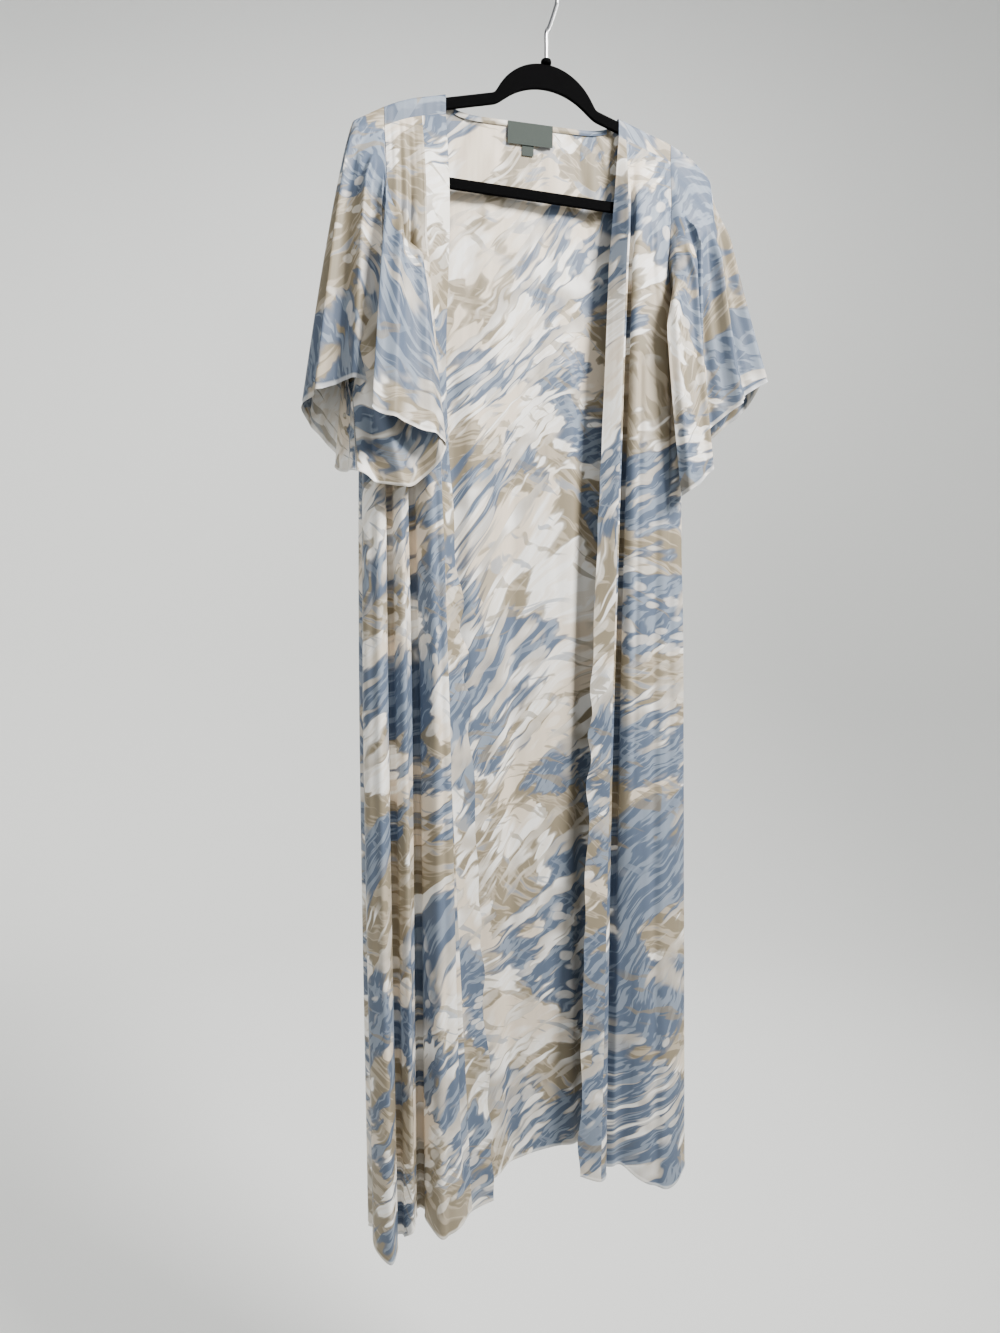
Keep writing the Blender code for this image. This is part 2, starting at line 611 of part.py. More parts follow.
# Sleeves
def armhole_point(front_table, side, way):
    """A point just outside the armhole edge; way runs as in the sleeve tables."""
    x_top = COAT_CENTRE_X + side * SHOULDER_HALF
    top = arm_top(x_top)
    climb = min(way, 2 - way)
    z = UNDERARM_Z + (top + SHOULDER_WRAP_RADIUS - UNDERARM_Z) * climb
    toward = -1 if way <= 1 else 1
    seam = top - SHOULDER_SEAM_DROP - SHOULDER_SEAM_GAP / 2
    if z >= top:
        y = math.sqrt(max(SHOULDER_WRAP_RADIUS ** 2 - (z - top) ** 2, 0.0))
        point = np.array((x_top, toward * y, z))
    elif toward > 0:
        edge_place = 0 if side < 0 else len(BACK_FOLDS) - 1
        point = back_point(edge_place, level_at(z, top))
    elif z >= seam:
        point = np.array((x_top, -SHOULDER_WRAP_RADIUS, z))
    else:
        point = front_point(front_table, side, 0, level_at(z, seam))
    return point + np.array((side * (CLOTH + SEAM_GAP), 0.0, 0.0))


def make_sleeve(name, table, front_table, side, parent, collection):
    around = len(table) * SLEEVE_STEPS_PER_ROW
    ways = [np.array((row[1],)) for row in table]
    ways.append(np.array((2.0,)))
    caps = [np.array(row[2:5]) for row in table]
    hems = [np.array(row[5:8]) for row in table]

    def point_at(column, row):
        place = (column % around) / SLEEVE_STEPS_PER_ROW
        way = float(rounded_curve(ways, place)[0])
        start = armhole_point(front_table, side, min(max(way, 0.0), 2.0))
        cap = rounded_curve(caps, place, closed=True)
        hem = rounded_curve(hems, place, closed=True)
        share = row / SLEEVE_RINGS
        if share < SLEEVE_CAP_SHARE:
            rise = share / SLEEVE_CAP_SHARE
            lean = math.sin(math.pi * way) if way < 1 else 0.0
            inward = (cap[0] - start[0]) * side < 0
            lag = SHOULDER_LAG * max(0.0, 1 - abs(way - 1) / SHOULDER_REACH)
            powers = np.array((1 + lean if inward else 1 / (1 + lean), 1 / (1 + lean), 1 + lag))
            return start + (cap - start) * rise ** powers
        fall = (share - SLEEVE_CAP_SHARE) / (1 - SLEEVE_CAP_SHARE)
        flare = fall ** SLEEVE_FLARE[side]
        return cap + (hem - cap) * np.array((flare, flare, fall))

    sleeve = shell(name, around, SLEEVE_RINGS, point_at, "printed_cloth", parent, collection)
    bm = bmesh.new()
    bm.from_mesh(sleeve.data)
    bmesh.ops.remove_doubles(bm, verts=bm.verts, dist=1e-6)
    bm.to_mesh(sleeve.data)
    bm.free()


def main():
    clear_scene()
    collection = bpy.data.collections.new("duster_coat_on_hanger")
    bpy.context.scene.collection.children.link(collection)
    level = bpy.data.objects.new("table_level", None)
    level.location = (0.0, 0.0, -HOOK_RISE)
    collection.objects.link(level)
    make_hanger_body(level, collection)
    make_hanger_collar(level, collection)
    make_hanger_hook(level, collection)
    make_back(level, collection)
    make_front(FRONT_RIGHT_FOLDS, -1, ("front_right", "band_right"), level, collection)
    make_front(FRONT_LEFT_FOLDS, 1, ("front_left", "band_left"), level, collection)
    make_neck_binding(level, collection)
    make_neck_labels(level, collection)
    make_sleeve("sleeve_right", SLEEVE_RIGHT_FOLDS, FRONT_RIGHT_FOLDS, -1, level, collection)
    make_sleeve("sleeve_left", SLEEVE_LEFT_FOLDS, FRONT_LEFT_FOLDS, 1, level, collection)
    bpy.context.view_layer.update()


main()
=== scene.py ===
"""Looks of an open-front duster coat with flutter sleeves on a slim hanger.

Metres, +Z up; the front of the coat faces -Y and the origin is the seat of the hook.
Left and right are the wearer's own, so the right side of the coat is at -X.
Heights in the tables are measured from a level HOOK_RISE below the hook's seat.
"""
import math

import bmesh
import bpy
import numpy as np
from mathutils import Matrix, Vector


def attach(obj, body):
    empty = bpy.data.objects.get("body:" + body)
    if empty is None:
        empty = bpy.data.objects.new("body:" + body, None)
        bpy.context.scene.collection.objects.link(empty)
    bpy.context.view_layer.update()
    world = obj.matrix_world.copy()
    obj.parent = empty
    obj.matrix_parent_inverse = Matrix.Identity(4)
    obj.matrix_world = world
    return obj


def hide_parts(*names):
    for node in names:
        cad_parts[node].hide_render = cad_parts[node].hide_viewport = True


# Sizes of the hanger
HOOK_RISE = 0.020
HOOK_WIRE = 0.0044
HOOK_RADIUS = 0.0205
HOOK_TURN = math.radians(30)
HOOK_BEND_SHARE = 0.32
HOOK_BEND_RISE = 0.011
HOOK_SWEEP = (-28.0, 196.0)
HOOK_SWEEP_POINTS = 11
STEM_LENGTH = 0.030
COLLAR_TOP_Z = -0.075
COLLAR_RADIUS = 0.0062
CROWN_TOP_Z = -0.081
CROWN_DEPTH = 0.0285
ARCH_OUTER_RADIUS = 0.069
ARCH_INNER_RADIUS = 0.082
ARM_CENTRE_Z = -0.1055
ARM_SLOPE = 0.27
ARM_DEPTH = 0.013
ARM_REACH = 0.199
ARM_DROOP = 3.75
ARM_DROOP_START = 0.155
ARM_STATIONS = 60
TIP_RADIUS = 0.012
TIP_TOP_ANGLE = 68
TIP_DRAFT_ANGLE = -20
BAR_Z = -0.232
BAR_DEPTH = 0.0125
BAR_REACH = 0.181
BAR_CORNER = 0.012
INNER_CORNER = 0.004
INNER_TOP_ANGLE = 60
ARCH_BLEND = 0.006
ARC_STEPS = 8
HANGER_THICKNESS = 0.0050
HANGER_ROUND = 0.0014
HANGER_ROUND_STEPS = 3
WIRE_ROUND_STEPS = 6
HOOK_STEPS = 10
COLLAR_SIDES = 48
STRAIGHT_DOWN = -90
# Profile of the collar: shares of its radius and of its height
COLLAR_PROFILE = (
    (0.0, 0.0), (0.80, 0.0), (0.95, 0.08), (1.0, 0.25), (1.0, 0.6),
    (0.93, 0.82), (0.8, 0.95), (0.62, 1.0), (0.0, 1.0),
)

# Sizes of the coat
SEAM_GAP = 0.0003
COAT_CENTRE_X = -0.015
NECK_HALF = 0.109
SHOULDER_HALF = 0.180
SHOULDER_WRAP_RADIUS = 0.0037
SHOULDER_SEAM_DROP = 0.018
NECK_DIP = 0.0115
NECK_SET_BACK = 0.0085
NECK_CORNER_POWER = 8
CHEST_Z = -0.300
UNDERARM_Z = -0.440
MID_Z = -0.850
BAND_TOP_WIDTH = {-1: 0.028, 1: 0.010}
BINDING_WIDTH = 0.006
BINDING_LIFT = 0.0013
BINDING_BULGE = 0.0006
LABEL_SIZE = (0.057, 0.025)
LABEL_CENTRE_X = -0.017
LABEL_DROP = 0.0005
LABEL_LIFT = 0.0026
TAB_SIZE = (0.0145, 0.0145)
TAB_CENTRE_X = -0.0195
TAB_TUCK = 0.003
TAB_LIFT = 0.0014
SLEEVE_CAP_SHARE = 0.375
SLEEVE_FLARE = {-1: 0.80, 1: 1.2}
SLEEVE_FALL = 0.30
SLEEVE_START_GAP = 0.0005
SHOULDER_REACH = 0.07
INWARD_LAG = 0.35
SHOULDER_SLOPE_SHARE = {-1: 0.85, 1: 0.52}
SHOULDER_ROUND_POWER = 3.5
BACK_SHOULDER_FOLDS = 2
HEM_WIDTH = 0.005
HEM_BEAD = 0.0007
HEM_BEAD_POWER = 0.7
BAND_WAVE = 0.0035
BAND_SWAY = 0.7
BAND_WAVE_LENGTH = 0.083
BAND_WANDER = 1.7
BAND_WANDER_LENGTH = 0.31
BAND_SWELL = 0.4
BAND_SWELL_LENGTH = 0.47
BAND_CALM_FROM = 0.75
BAND_CALM_TO = 1.0
CREASE_LEAD = 0.05
CREASE_RISE = 0.12
CREASE_FADE = 0.35

# Flat sizes of the cut pieces, across and down, with an area where a piece is no rectangle;
# each front has its panel and then its band
FRONT_RIGHT_CUTS = ((0.235, 1.30), (0.031, 1.28))
FRONT_LEFT_CUTS = ((0.195, 1.28), (0.029, 1.27))

# Mesh fineness
FRONT_STEPS = 14
BACK_STEPS = 12
BAND_STEPS = 12
ROWS_TO_CHEST = 50
ROWS_TO_UNDERARM = 44
ROWS_TO_HEM = 150
WRAP_ROWS = 14
SLEEVE_STEPS = 16
SLEEVE_ROWS = 90
BINDING_COLUMNS = 91
BINDING_ROWS = 7
LABEL_COLUMNS = 17
LABEL_ROWS = 9
MERGE_DISTANCE = 1e-6
TINY = 1e-12
HEM_ROWS = (0.008, 0.0062, 0.005, 0.0038, 0.0026, 0.0013, 0.0)

# Fold tables: where each fold line of a panel runs, from the side seam to the free edge.
# Columns: name, then x and y at chest, underarm, mid height and hem, then the hem's height.
FRONT_RIGHT_FOLDS = (
    ("side", -0.197, -0.024, -0.224, -0.0082, -0.227, -0.0082, -0.222, -0.0082, -1.460),
    ("side_roll", -0.194, -0.026, -0.2205, -0.020, -0.229, -0.026, -0.224, -0.030, -1.472),
    ("ridge_a", -0.189, -0.029, -0.2105, -0.033, -0.214, -0.042, -0.209, -0.052, -1.480),
    ("crease", -0.183, -0.027, -0.200, -0.030, -0.198, -0.029, -0.193, -0.030, -1.468),
    ("ridge_b", -0.177, -0.030, -0.187, -0.037, -0.184, -0.040, -0.181, -0.044, -1.452),
    ("deep_fold", -0.172, -0.027, -0.174, -0.025, -0.168, -0.021, -0.166, -0.018, -1.450),
    ("ridge_c", -0.166, -0.031, -0.160, -0.038, -0.151, -0.044, -0.149, -0.052, -1.463),
    ("ridge_end", -0.158, -0.032, -0.147, -0.037, -0.1335, -0.042, -0.124, -0.048, -1.456),
    ("band_seam", -0.155, -0.032, -0.144, -0.033, -0.1305, -0.029, -0.106, -0.036, -1.448),
    ("band_edge", -0.127, -0.027, -0.128, -0.015, -0.104, -0.024, -0.079, -0.040, -1.438),
)
FRONT_LEFT_FOLDS = (
    ("side", 0.151, -0.026, 0.177, -0.0082, 0.178, -0.0082, 0.186, -0.0082, -1.432),
    ("side_roll", 0.149, -0.029, 0.1735, -0.020, 0.180, -0.026, 0.189, -0.028, -1.440),
    ("main_a", 0.144, -0.031, 0.1620, -0.033, 0.165, -0.041, 0.172, -0.050, -1.456),
    ("main_b", 0.133, -0.033, 0.145, -0.040, 0.143, -0.044, 0.148, -0.056, -1.463),
    ("main_c", 0.119, -0.033, 0.121, -0.038, 0.117, -0.042, 0.118, -0.044, -1.452),
    ("ridge_end", 0.105, -0.032, 0.103, -0.036, 0.098, -0.038, 0.098, -0.026, -1.437),
    ("valley", 0.099, -0.025, 0.095, -0.024, 0.087, -0.021, 0.082, -0.030, -1.440),
    ("band_seam", 0.094, -0.028, 0.089, -0.030, 0.080, -0.028, 0.062, -0.044, -1.442),
    ("band_edge", 0.080, -0.008, 0.072, -0.015, 0.054, -0.021, 0.036, -0.034, -1.434),
)
BACK_FOLDS = (
    ("side_right", -0.197, 0.008, -0.224, -0.0070, -0.227, -0.0070, -0.222, -0.0070, -1.460),
    ("roll_right", -0.192, 0.010, -0.2245, 0.004, -0.229, 0.004, -0.225, 0.006, -1.464),
    ("ridge_a", -0.180, 0.011, -0.210, 0.013, -0.212, 0.014, -0.208, 0.018, -1.464),
    ("trough_a", -0.145, 0.011, -0.155, 0.010, -0.158, 0.009, -0.158, 0.008, -1.458),
    ("ridge_b", -0.100, 0.012, -0.108, 0.014, -0.110, 0.016, -0.112, 0.020, -1.452),
    ("trough_b", -0.056, 0.011, -0.062, 0.011, -0.064, 0.010, -0.066, 0.010, -1.445),
    ("centre", -0.015, 0.012, -0.021, 0.013, -0.022, 0.014, -0.021, 0.018, -1.428),
    ("trough_c", 0.027, 0.011, 0.021, 0.010, 0.021, 0.010, 0.022, 0.008, -1.416),
    ("ridge_c", 0.068, 0.012, 0.064, 0.014, 0.064, 0.016, 0.068, 0.020, -1.424),
    ("trough_d", 0.106, 0.011, 0.109, 0.010, 0.110, 0.009, 0.114, 0.008, -1.428),
    ("ridge_d", 0.134, 0.011, 0.162, 0.013, 0.163, 0.014, 0.170, 0.018, -1.432),
    ("roll_left", 0.146, 0.010, 0.1775, 0.004, 0.180, 0.004, 0.189, 0.006, -1.434),
    ("side_left", 0.151, 0.008, 0.177, -0.0070, 0.178, -0.0070, 0.186, -0.0070, -1.432),
)

# Sleeve tables: one row for each fold line, round the armhole from the underarm up the
# front, over the shoulder and down the back. Columns: name, way round the armhole (0 is
# the underarm, 1 the shoulder, 2 the underarm again), then x, y, z of the cap and the hem.
SLEEVE_RIGHT_FOLDS = (
    ("underarm", 0.00, -0.2370, -0.016, -0.478, -0.2400, -0.058, -0.570),
    ("front_low", 0.18, -0.2310, -0.058, -0.428, -0.1830, -0.060, -0.585),
    ("inner_edge", 0.42, -0.1640, -0.050, -0.360, -0.1420, -0.062, -0.540),
    ("front_a", 0.58, -0.1820, -0.057, -0.325, -0.1820, -0.082, -0.524),
    ("ridge", 0.70, -0.2040, -0.053, -0.290, -0.2300, -0.090, -0.508),
    ("fold", 0.81, -0.2040, -0.036, -0.262, -0.2060, -0.064, -0.480),
    ("front_b", 0.90, -0.2240, -0.026, -0.240, -0.2520, -0.042, -0.472),
    ("shoulder_front", 0.97, -0.2290, -0.0060, -0.187, -0.2820, -0.024, -0.488),
    ("shoulder", 1.00, -0.2300, 0.000, -0.184, -0.2920, -0.012, -0.495),
    ("shoulder_back", 1.03, -0.2290, 0.0060, -0.187, -0.2880, 0.003, -0.503),
    ("back_a", 1.12, -0.2300, 0.014, -0.240, -0.2720, 0.014, -0.520),
    ("back_b", 1.36, -0.2240, 0.017, -0.320, -0.2480, 0.010, -0.548),
    ("back_low", 1.70, -0.2340, 0.009, -0.425, -0.2540, -0.020, -0.566),
)
SLEEVE_LEFT_FOLDS = (
    ("underarm", 0.00, 0.1930, -0.016, -0.478, 0.1950, -0.034, -0.556),
    ("front_low", 0.18, 0.1870, -0.058, -0.428, 0.1780, -0.058, -0.570),
    ("inner_edge", 0.42, 0.1340, -0.057, -0.385, 0.1530, -0.062, -0.584),
    ("front_a", 0.58, 0.1600, -0.056, -0.335, 0.1760, -0.072, -0.566),
    ("flap", 0.68, 0.1780, -0.050, -0.305, 0.1950, -0.060, -0.540),
    ("fold", 0.77, 0.1800, -0.036, -0.280, 0.1780, -0.050, -0.524),
    ("front_b", 0.85, 0.1960, -0.032, -0.262, 0.2100, -0.048, -0.492),
    ("front_c", 0.92, 0.2150, -0.022, -0.235, 0.2560, -0.042, -0.455),
    ("shoulder_front", 0.97, 0.2210, -0.0060, -0.187, 0.2900, -0.022, -0.432),
    ("shoulder", 1.00, 0.2210, 0.000, -0.184, 0.3070, -0.004, -0.419),
    ("shoulder_back", 1.03, 0.2210, 0.0060, -0.187, 0.3060, 0.012, -0.438),
    ("back_a", 1.13, 0.2260, 0.015, -0.240, 0.2960, 0.030, -0.462),
    ("back_b", 1.36, 0.2140, 0.020, -0.320, 0.2620, 0.036, -0.490),
    ("back_c", 1.62, 0.2000, 0.020, -0.395, 0.2260, 0.032, -0.520),
    ("back_low", 1.84, 0.1920, 0.010, -0.440, 0.2020, 0.010, -0.545),
)

# Columns of the fold tables and of the sleeve tables
FOLD_PATH = slice(1, 9)
FOLD_HEM = 9
SLEEVE_WAY = 1
SLEEVE_CAP = slice(2, 5)
SLEEVE_HEM = slice(5, 8)

# Creases laid on the panels. Columns: place at the upper and lower end, counted in
# fold lines; level at the upper and lower end (0 upper edge, 1 chest, 2 underarm, 3 hem);
# half width in fold lines; height in metres, below zero for a trough.
FRONT_RIGHT_CREASES = (
    (1.2, 1.4, 0.0, 0.60, 0.34, -0.0005),
    (3.2, 3.0, 0.0, 0.90, 0.36, -0.0006),
    (4.4, 4.3, 0.0, 0.55, 0.32, -0.0004),
    (6.2, 6.0, 0.0, 0.80, 0.36, -0.0006),
    (3.0, 3.0, 0.8, 1.80, 0.30, -0.0018),
    (5.0, 5.0, 0.7, 1.80, 0.30, -0.0020),
    (3.0, 3.0, 1.5, 3.6, 0.15, -0.0120),
    (5.0, 5.0, 1.4, 3.6, 0.14, -0.0140),
    (7.6, 7.5, 1.5, 3.0, 0.22, -0.0140),
    (1.5, 1.6, 2.0, 2.9, 0.22, -0.0022),
    (2.5, 2.4, 2.1, 2.6, 0.18, 0.0018),
    (4.4, 4.5, 2.2, 3.2, 0.22, -0.0022),
    (6.5, 6.4, 2.1, 3.4, 0.22, -0.0034),
)
FRONT_LEFT_CREASES = (
    (0.8, 1.1, 0.0, 0.60, 0.34, -0.0005),
    (1.9, 1.7, 0.0, 0.90, 0.36, -0.0006),
    (2.7, 2.9, 0.0, 0.55, 0.32, -0.0004),
    (3.9, 3.8, 0.0, 0.80, 0.36, -0.0006),
    (3.5, 3.4, 0.7, 1.60, 0.30, -0.0018),
    (6.0, 6.0, 0.4, 3.6, 0.26, -0.0140),
    (2.5, 2.6, 1.6, 2.7, 0.24, -0.0034),
    (3.5, 3.3, 2.1, 3.5, 0.22, -0.0040),
    (1.5, 1.5, 2.2, 3.4, 0.20, 0.0024),
    (4.5, 4.6, 1.8, 2.6, 0.20, -0.0028),
)
BACK_CREASES = (
    (3.2, 3.0, 0.0, 1.4, 0.24, -0.0024),
    (4.5, 4.6, 0.2, 1.7, 0.24, 0.0020),
    (6.4, 6.5, 0.0, 1.2, 0.22, -0.0022),
    (8.1, 7.9, 0.1, 1.6, 0.24, -0.0024),
    (9.2, 9.4, 0.0, 0.9, 0.20, 0.0018),
    (2.6, 2.7, 1.6, 2.8, 0.26, -0.0050),
    (4.4, 4.3, 1.9, 3.5, 0.28, 0.0062),
    (5.7, 5.6, 2.1, 3.5, 0.26, -0.0054),
    (7.4, 7.5, 1.8, 3.5, 0.28, 0.0058),
    (8.6, 8.5, 2.2, 3.5, 0.26, -0.0056),
    (10.5, 10.4, 1.7, 2.9, 0.24, -0.0046),
)
# The same on the sleeves, with level 0 at the armhole and 1 at the hem.
SLEEVE_RIGHT_CREASES = (
    (0.45, 0.40, 0.50, 1.6, 0.15, -0.0105),
    (0.85, 0.85, 0.55, 1.6, 0.14, 0.0090),
    (1.25, 1.30, 0.50, 1.6, 0.14, -0.0095),
    (1.70, 1.65, 0.55, 1.6, 0.14, 0.0080),
    (2.6, 2.6, 0.22, 1.6, 0.15, -0.0060),
    (3.4, 3.5, 0.18, 1.5, 0.14, -0.0065),
    (4.6, 4.5, 0.10, 0.9, 0.20, 0.0022),
    (5.0, 5.0, 0.30, 1.5, 0.16, -0.0050),
    (5.75, 5.72, 0.22, 1.6, 0.12, -0.0100),
    (6.2, 6.2, 0.55, 1.6, 0.20, 0.0060),
    (6.7, 6.75, 0.30, 1.6, 0.14, -0.0090),
    (9.7, 9.8, 0.10, 1.5, 0.22, -0.0032),
    (10.6, 10.5, 0.15, 1.5, 0.24, -0.0045),
    (11.6, 11.6, 0.20, 1.5, 0.22, 0.0040),
    (12.4, 12.4, 0.30, 1.6, 0.22, -0.0050),
)
SLEEVE_LEFT_CREASES = (
    (0.5, 0.5, 0.35, 1.6, 0.20, -0.0060),
    (1.4, 1.4, 0.40, 1.6, 0.18, -0.0050),
    (2.5, 2.5, 0.22, 1.6, 0.15, -0.0065),
    (3.5, 3.6, 0.18, 1.5, 0.15, -0.0060),
    (5.0, 5.0, 0.18, 1.6, 0.13, -0.0120),
    (5.9, 5.9, 0.55, 1.6, 0.20, 0.0090),
    (6.6, 6.6, 0.40, 1.6, 0.16, -0.0150),
    (7.2, 7.2, 0.60, 1.6, 0.18, 0.0090),
    (7.8, 7.8, 0.45, 1.6, 0.18, -0.0130),
    (10.7, 10.8, 0.10, 1.5, 0.22, -0.0036),
    (11.6, 11.5, 0.15, 1.5, 0.24, -0.0045),
    (12.6, 12.6, 0.20, 1.5, 0.22, 0.0040),
    (13.5, 13.5, 0.30, 1.6, 0.22, -0.0050),
)

# Where each piece is cut from the printed cloth: across, up
BACK_FLAT = (4.5, -1.8)
FRONT_RIGHT_FLAT = (9.89, 0.9)
FRONT_LEFT_FLAT = (1.29, -0.5)
BAND_FLAT_SHIFT = (0.31, 0.17, 0.0)
BINDING_FLAT = (1.3, 0.4)
SLEEVE_RIGHT_FLAT = (3.36, -1.24)
SLEEVE_LEFT_FLAT = (9.69, 0.32)

# Print colours, linear
IVORY = (0.83, 0.78, 0.70, 1.0)
WHITE = (0.91, 0.89, 0.85, 1.0)
SAND = (0.70, 0.60, 0.475, 1.0)
TAUPE = (0.235, 0.195, 0.130, 1.0)
PALE_TAUPE = (0.42, 0.355, 0.265, 1.0)
BLUE = (0.088, 0.118, 0.176, 1.0)
PALE_BLUE = (0.215, 0.258, 0.322, 1.0)

# Print marks: angle in degrees, marks in a metre along and across, shift
BROAD_MARKS = (-38, 10.0, 54.0, (0, 0, 0))
FINE_MARKS = (-46, 24.0, 130.0, (3, 1, 2))
CROSS_MARKS = (24, 16.0, 84.0, (7, 2, 5))
PETAL_MARKS = (-30, 34.0, 62.0, (0, 0, 0))
MARK_ROUGHNESS = 0.55

# Print clouds: shift, patches in a metre, where the rim begins and ends
SAND_CLOUD = ((2.2, 9.1, 1.4), 8.0, 0.46, 0.53)
TAUPE_CLOUD = ((4.1, 2.3, 0.7), 9.5, 0.465, 0.50)
BLUE_CLOUD = ((1.7, 6.2, 3.1), 7.4, 0.490, 0.525)
TINT_CLOUD = ((5.0, 3.0, 8.0), 7.0, 0.50, 0.51)
LINE_CLOUD = ((6.4, 1.2, 2.7), 6.0, 0.44, 0.50)
PETAL_CLOUD = ((9.3, 4.8, 0.2), 6.5, 0.53, 0.59)
STROKE_CLOUD = ((8.3, 0.4, 5.5), 5.2, 0.45, 0.53)

# Where each kind of mark begins and is full
WHITE_EDGES = (0.46, 0.55)
PALE_TAUPE_EDGES = (0.49, 0.55)
PALE_BLUE_EDGES = (0.49, 0.56)
LINE_EDGES = (0.56, 0.60)
PETAL_EDGES = (0.42, 0.32)
STROKE_EDGES = (0.53, 0.58)
COVER_EDGES = (0.2, 0.62)

# How marks sway (patches in a metre, reach in metres), and how strongly layers cover
BROAD_SWAY = (3.2, 0.22)
FINE_SWAY = (34.0, 0.016)
NOISE_MIDDLE = 0.5
COVER_SCALE = 16.0
RIM_BREAK = 0.40
LINE_COVER = 0.65
PETAL_COVER = 0.55
PAINT_RIM = 2.6

# Cloth surface
CLOTH_ROUGHNESS = 0.52
CLOTH_SPECULAR = 0.32
CLOTH_SHEEN = 0.07
CLOTH_SHEEN_ROUGHNESS = 0.4
HEM_PALE = 0.45
HEM_PALE_SHARE = 0.6
RIPPLE_GRID = (46.0, 5.0, 1.0)
RIPPLE_HEIGHT = 0.0028
CREPE_SCALE = 900.0
CREPE_HEIGHT = 0.00012
BUMP_STRENGTH = 0.8

# Label, flock and wire
LABEL_DARK = (0.032, 0.041, 0.036, 1.0)
LABEL_LIGHT = (0.060, 0.071, 0.064, 1.0)
LABEL_THREADS = (500.0, 2600.0, 1.0)
LABEL_ROUGHNESS = 0.8
LABEL_SPECULAR = 0.2
FLOCK_BLACK = (0.002, 0.002, 0.0022, 1.0)
FLOCK_ROUGHNESS = 0.95
FLOCK_SPECULAR = 0.03
WIRE_GREY = (0.42, 0.42, 0.43, 1.0)
WIRE_ROUGHNESS = 0.22

# Camera and light
CAMERA_AT = (-0.441, -1.083, -0.723)
CAMERA_YAW = math.radians(19.5)
CAMERA_PITCH = math.radians(4.3)
CAMERA_LENS = 25.66
CAMERA_SENSOR = 36.0
FLOOR_Z = -2.1
FLOOR_RADIUS = 2.6
SWEEP_RADIUS = 1.2
WALL_TOP_Z = 2.6
WALL_SIDES = 64
SWEEP_START = -80
SWEEP_POINTS = 9
BACKDROP_COLOUR = (0.82, 0.825, 0.81, 1.0)
BACKDROP_ROUGHNESS = 0.9
WORLD_COLOUR = (0.92, 0.95, 1.0, 1.0)
WORLD_STRENGTH = 0.32
# Lights: name, place, target, size, spread in degrees, watts, colour
LIGHTS = (
    ("key", (1.05, -1.65, 1.0), (0.0, 0.0, -0.30), 0.7, 90, 48.0, (1.0, 0.985, 0.96)),
    ("left_fill", (-1.9, -1.9, 0.5), (0.0, 0.0, -0.7), 1.6, 180, 10.0, (0.96, 0.98, 1.0)),
    ("back_light", (1.7, 1.4, 0.9), (0.0, 0.0, -0.7), 0.7, 180, 66.0, (1.0, 0.99, 0.97)),
    ("wall_light", (0.4, 1.6, 1.4), (0.8, 3.8, -0.4), 1.2, 180, 55.0, (1.0, 1.0, 0.99)),
)


# Interpolation
def monotone_curve(knots, values, at):
    """Smooth curves through values that never overshoot them; one row of values per knot."""
    knots = np.asarray(knots, float)
    values = np.asarray(values, float)
    at = np.asarray(at, float)
    spans = np.diff(knots)
    secants = np.diff(values, axis=0) / spans[:, None]
    slopes = np.zeros_like(values)
    slopes[0] = secants[0]
    slopes[-1] = secants[-1]
    product = secants[:-1] * secants[1:]
    total = secants[:-1] + secants[1:]
    safe_total = np.where(np.abs(total) < TINY, 1.0, total)
    slopes[1:-1] = np.where(product > 0, 2 * product / safe_total, 0.0)
    index = np.clip(np.searchsorted(knots, at) - 1, 0, len(spans) - 1)
    span = spans[index][:, None]
    share = np.clip((at - knots[index])[:, None] / span, 0.0, 1.0)
    return ((1 + 2 * share) * (1 - share) ** 2 * values[index]
            + share ** 2 * (3 - 2 * share) * values[index + 1]
            + share * (1 - share) ** 2 * span * slopes[index]
            + share ** 2 * (share - 1) * span * slopes[index + 1])


def curve_weights(count, places, closed=False):
    """Weights of a rounded line through count points; one row for each place along it."""
    weights = np.zeros((len(places), count))
    last = count - 1 if closed else count - 2
    for row, place in enumerate(places):
        start = int(np.clip(math.floor(place), 0, last))
        share = place - start
        leave = share * (1 - share) ** 2 / 2
        arrive = share ** 2 * (share - 1) / 2
        first = (1 + 2 * share) * (1 - share) ** 2
        second = share ** 2 * (3 - 2 * share)
        for offset, weight in zip((-1, 0, 1, 2), (-leave, first - arrive, second + leave, arrive)):
            index = start + offset
            index = index % count if closed else min(max(index, 0), count - 1)
            weights[row, index] += weight
    return weights


def smooth_max(first, second, blend):
    """The higher of two heights, rounded where they cross."""
    share = min(max(0.5 + (first - second) / (2 * blend), 0.0), 1.0)
    return second + (first - second) * share + blend * share * (1 - share)


def smooth_step(low, high, value):
    share = np.clip((value - low) / (high - low), 0.0, 1.0)
    return share ** 2 * (3 - 2 * share)


# Hanger outline
def arch_or_arm(x, crown, radius, arm_centre):
    """Height of a round arch that runs out into a sloping arm on each side."""
    droop = ARM_DROOP * max(abs(x) - ARM_DROOP_START, 0.0) ** 2
    arm = arm_centre - ARM_SLOPE * abs(x) - droop
    if abs(x) >= radius:
        return arm
    arch = crown - radius + math.sqrt(radius ** 2 - x ** 2)
    return smooth_max(arch, arm, ARCH_BLEND)


def arm_top(x):
    """Height of the hanger's upper edge."""
    return arch_or_arm(x, CROWN_TOP_Z, ARCH_OUTER_RADIUS, ARM_CENTRE_Z)


def arm_underside(x):
    """Height of the lower edge of the arch and arms."""
    return arch_or_arm(x, CROWN_TOP_Z - CROWN_DEPTH, ARCH_INNER_RADIUS, ARM_CENTRE_Z - ARM_DEPTH)


def arc(centre_x, centre_z, radius, start, end):
    """Points on an arc, angles in degrees."""
    angles = np.radians(np.linspace(start, end, ARC_STEPS + 1))
    return [(centre_x + radius * math.cos(a), centre_z + radius * math.sin(a)) for a in angles]


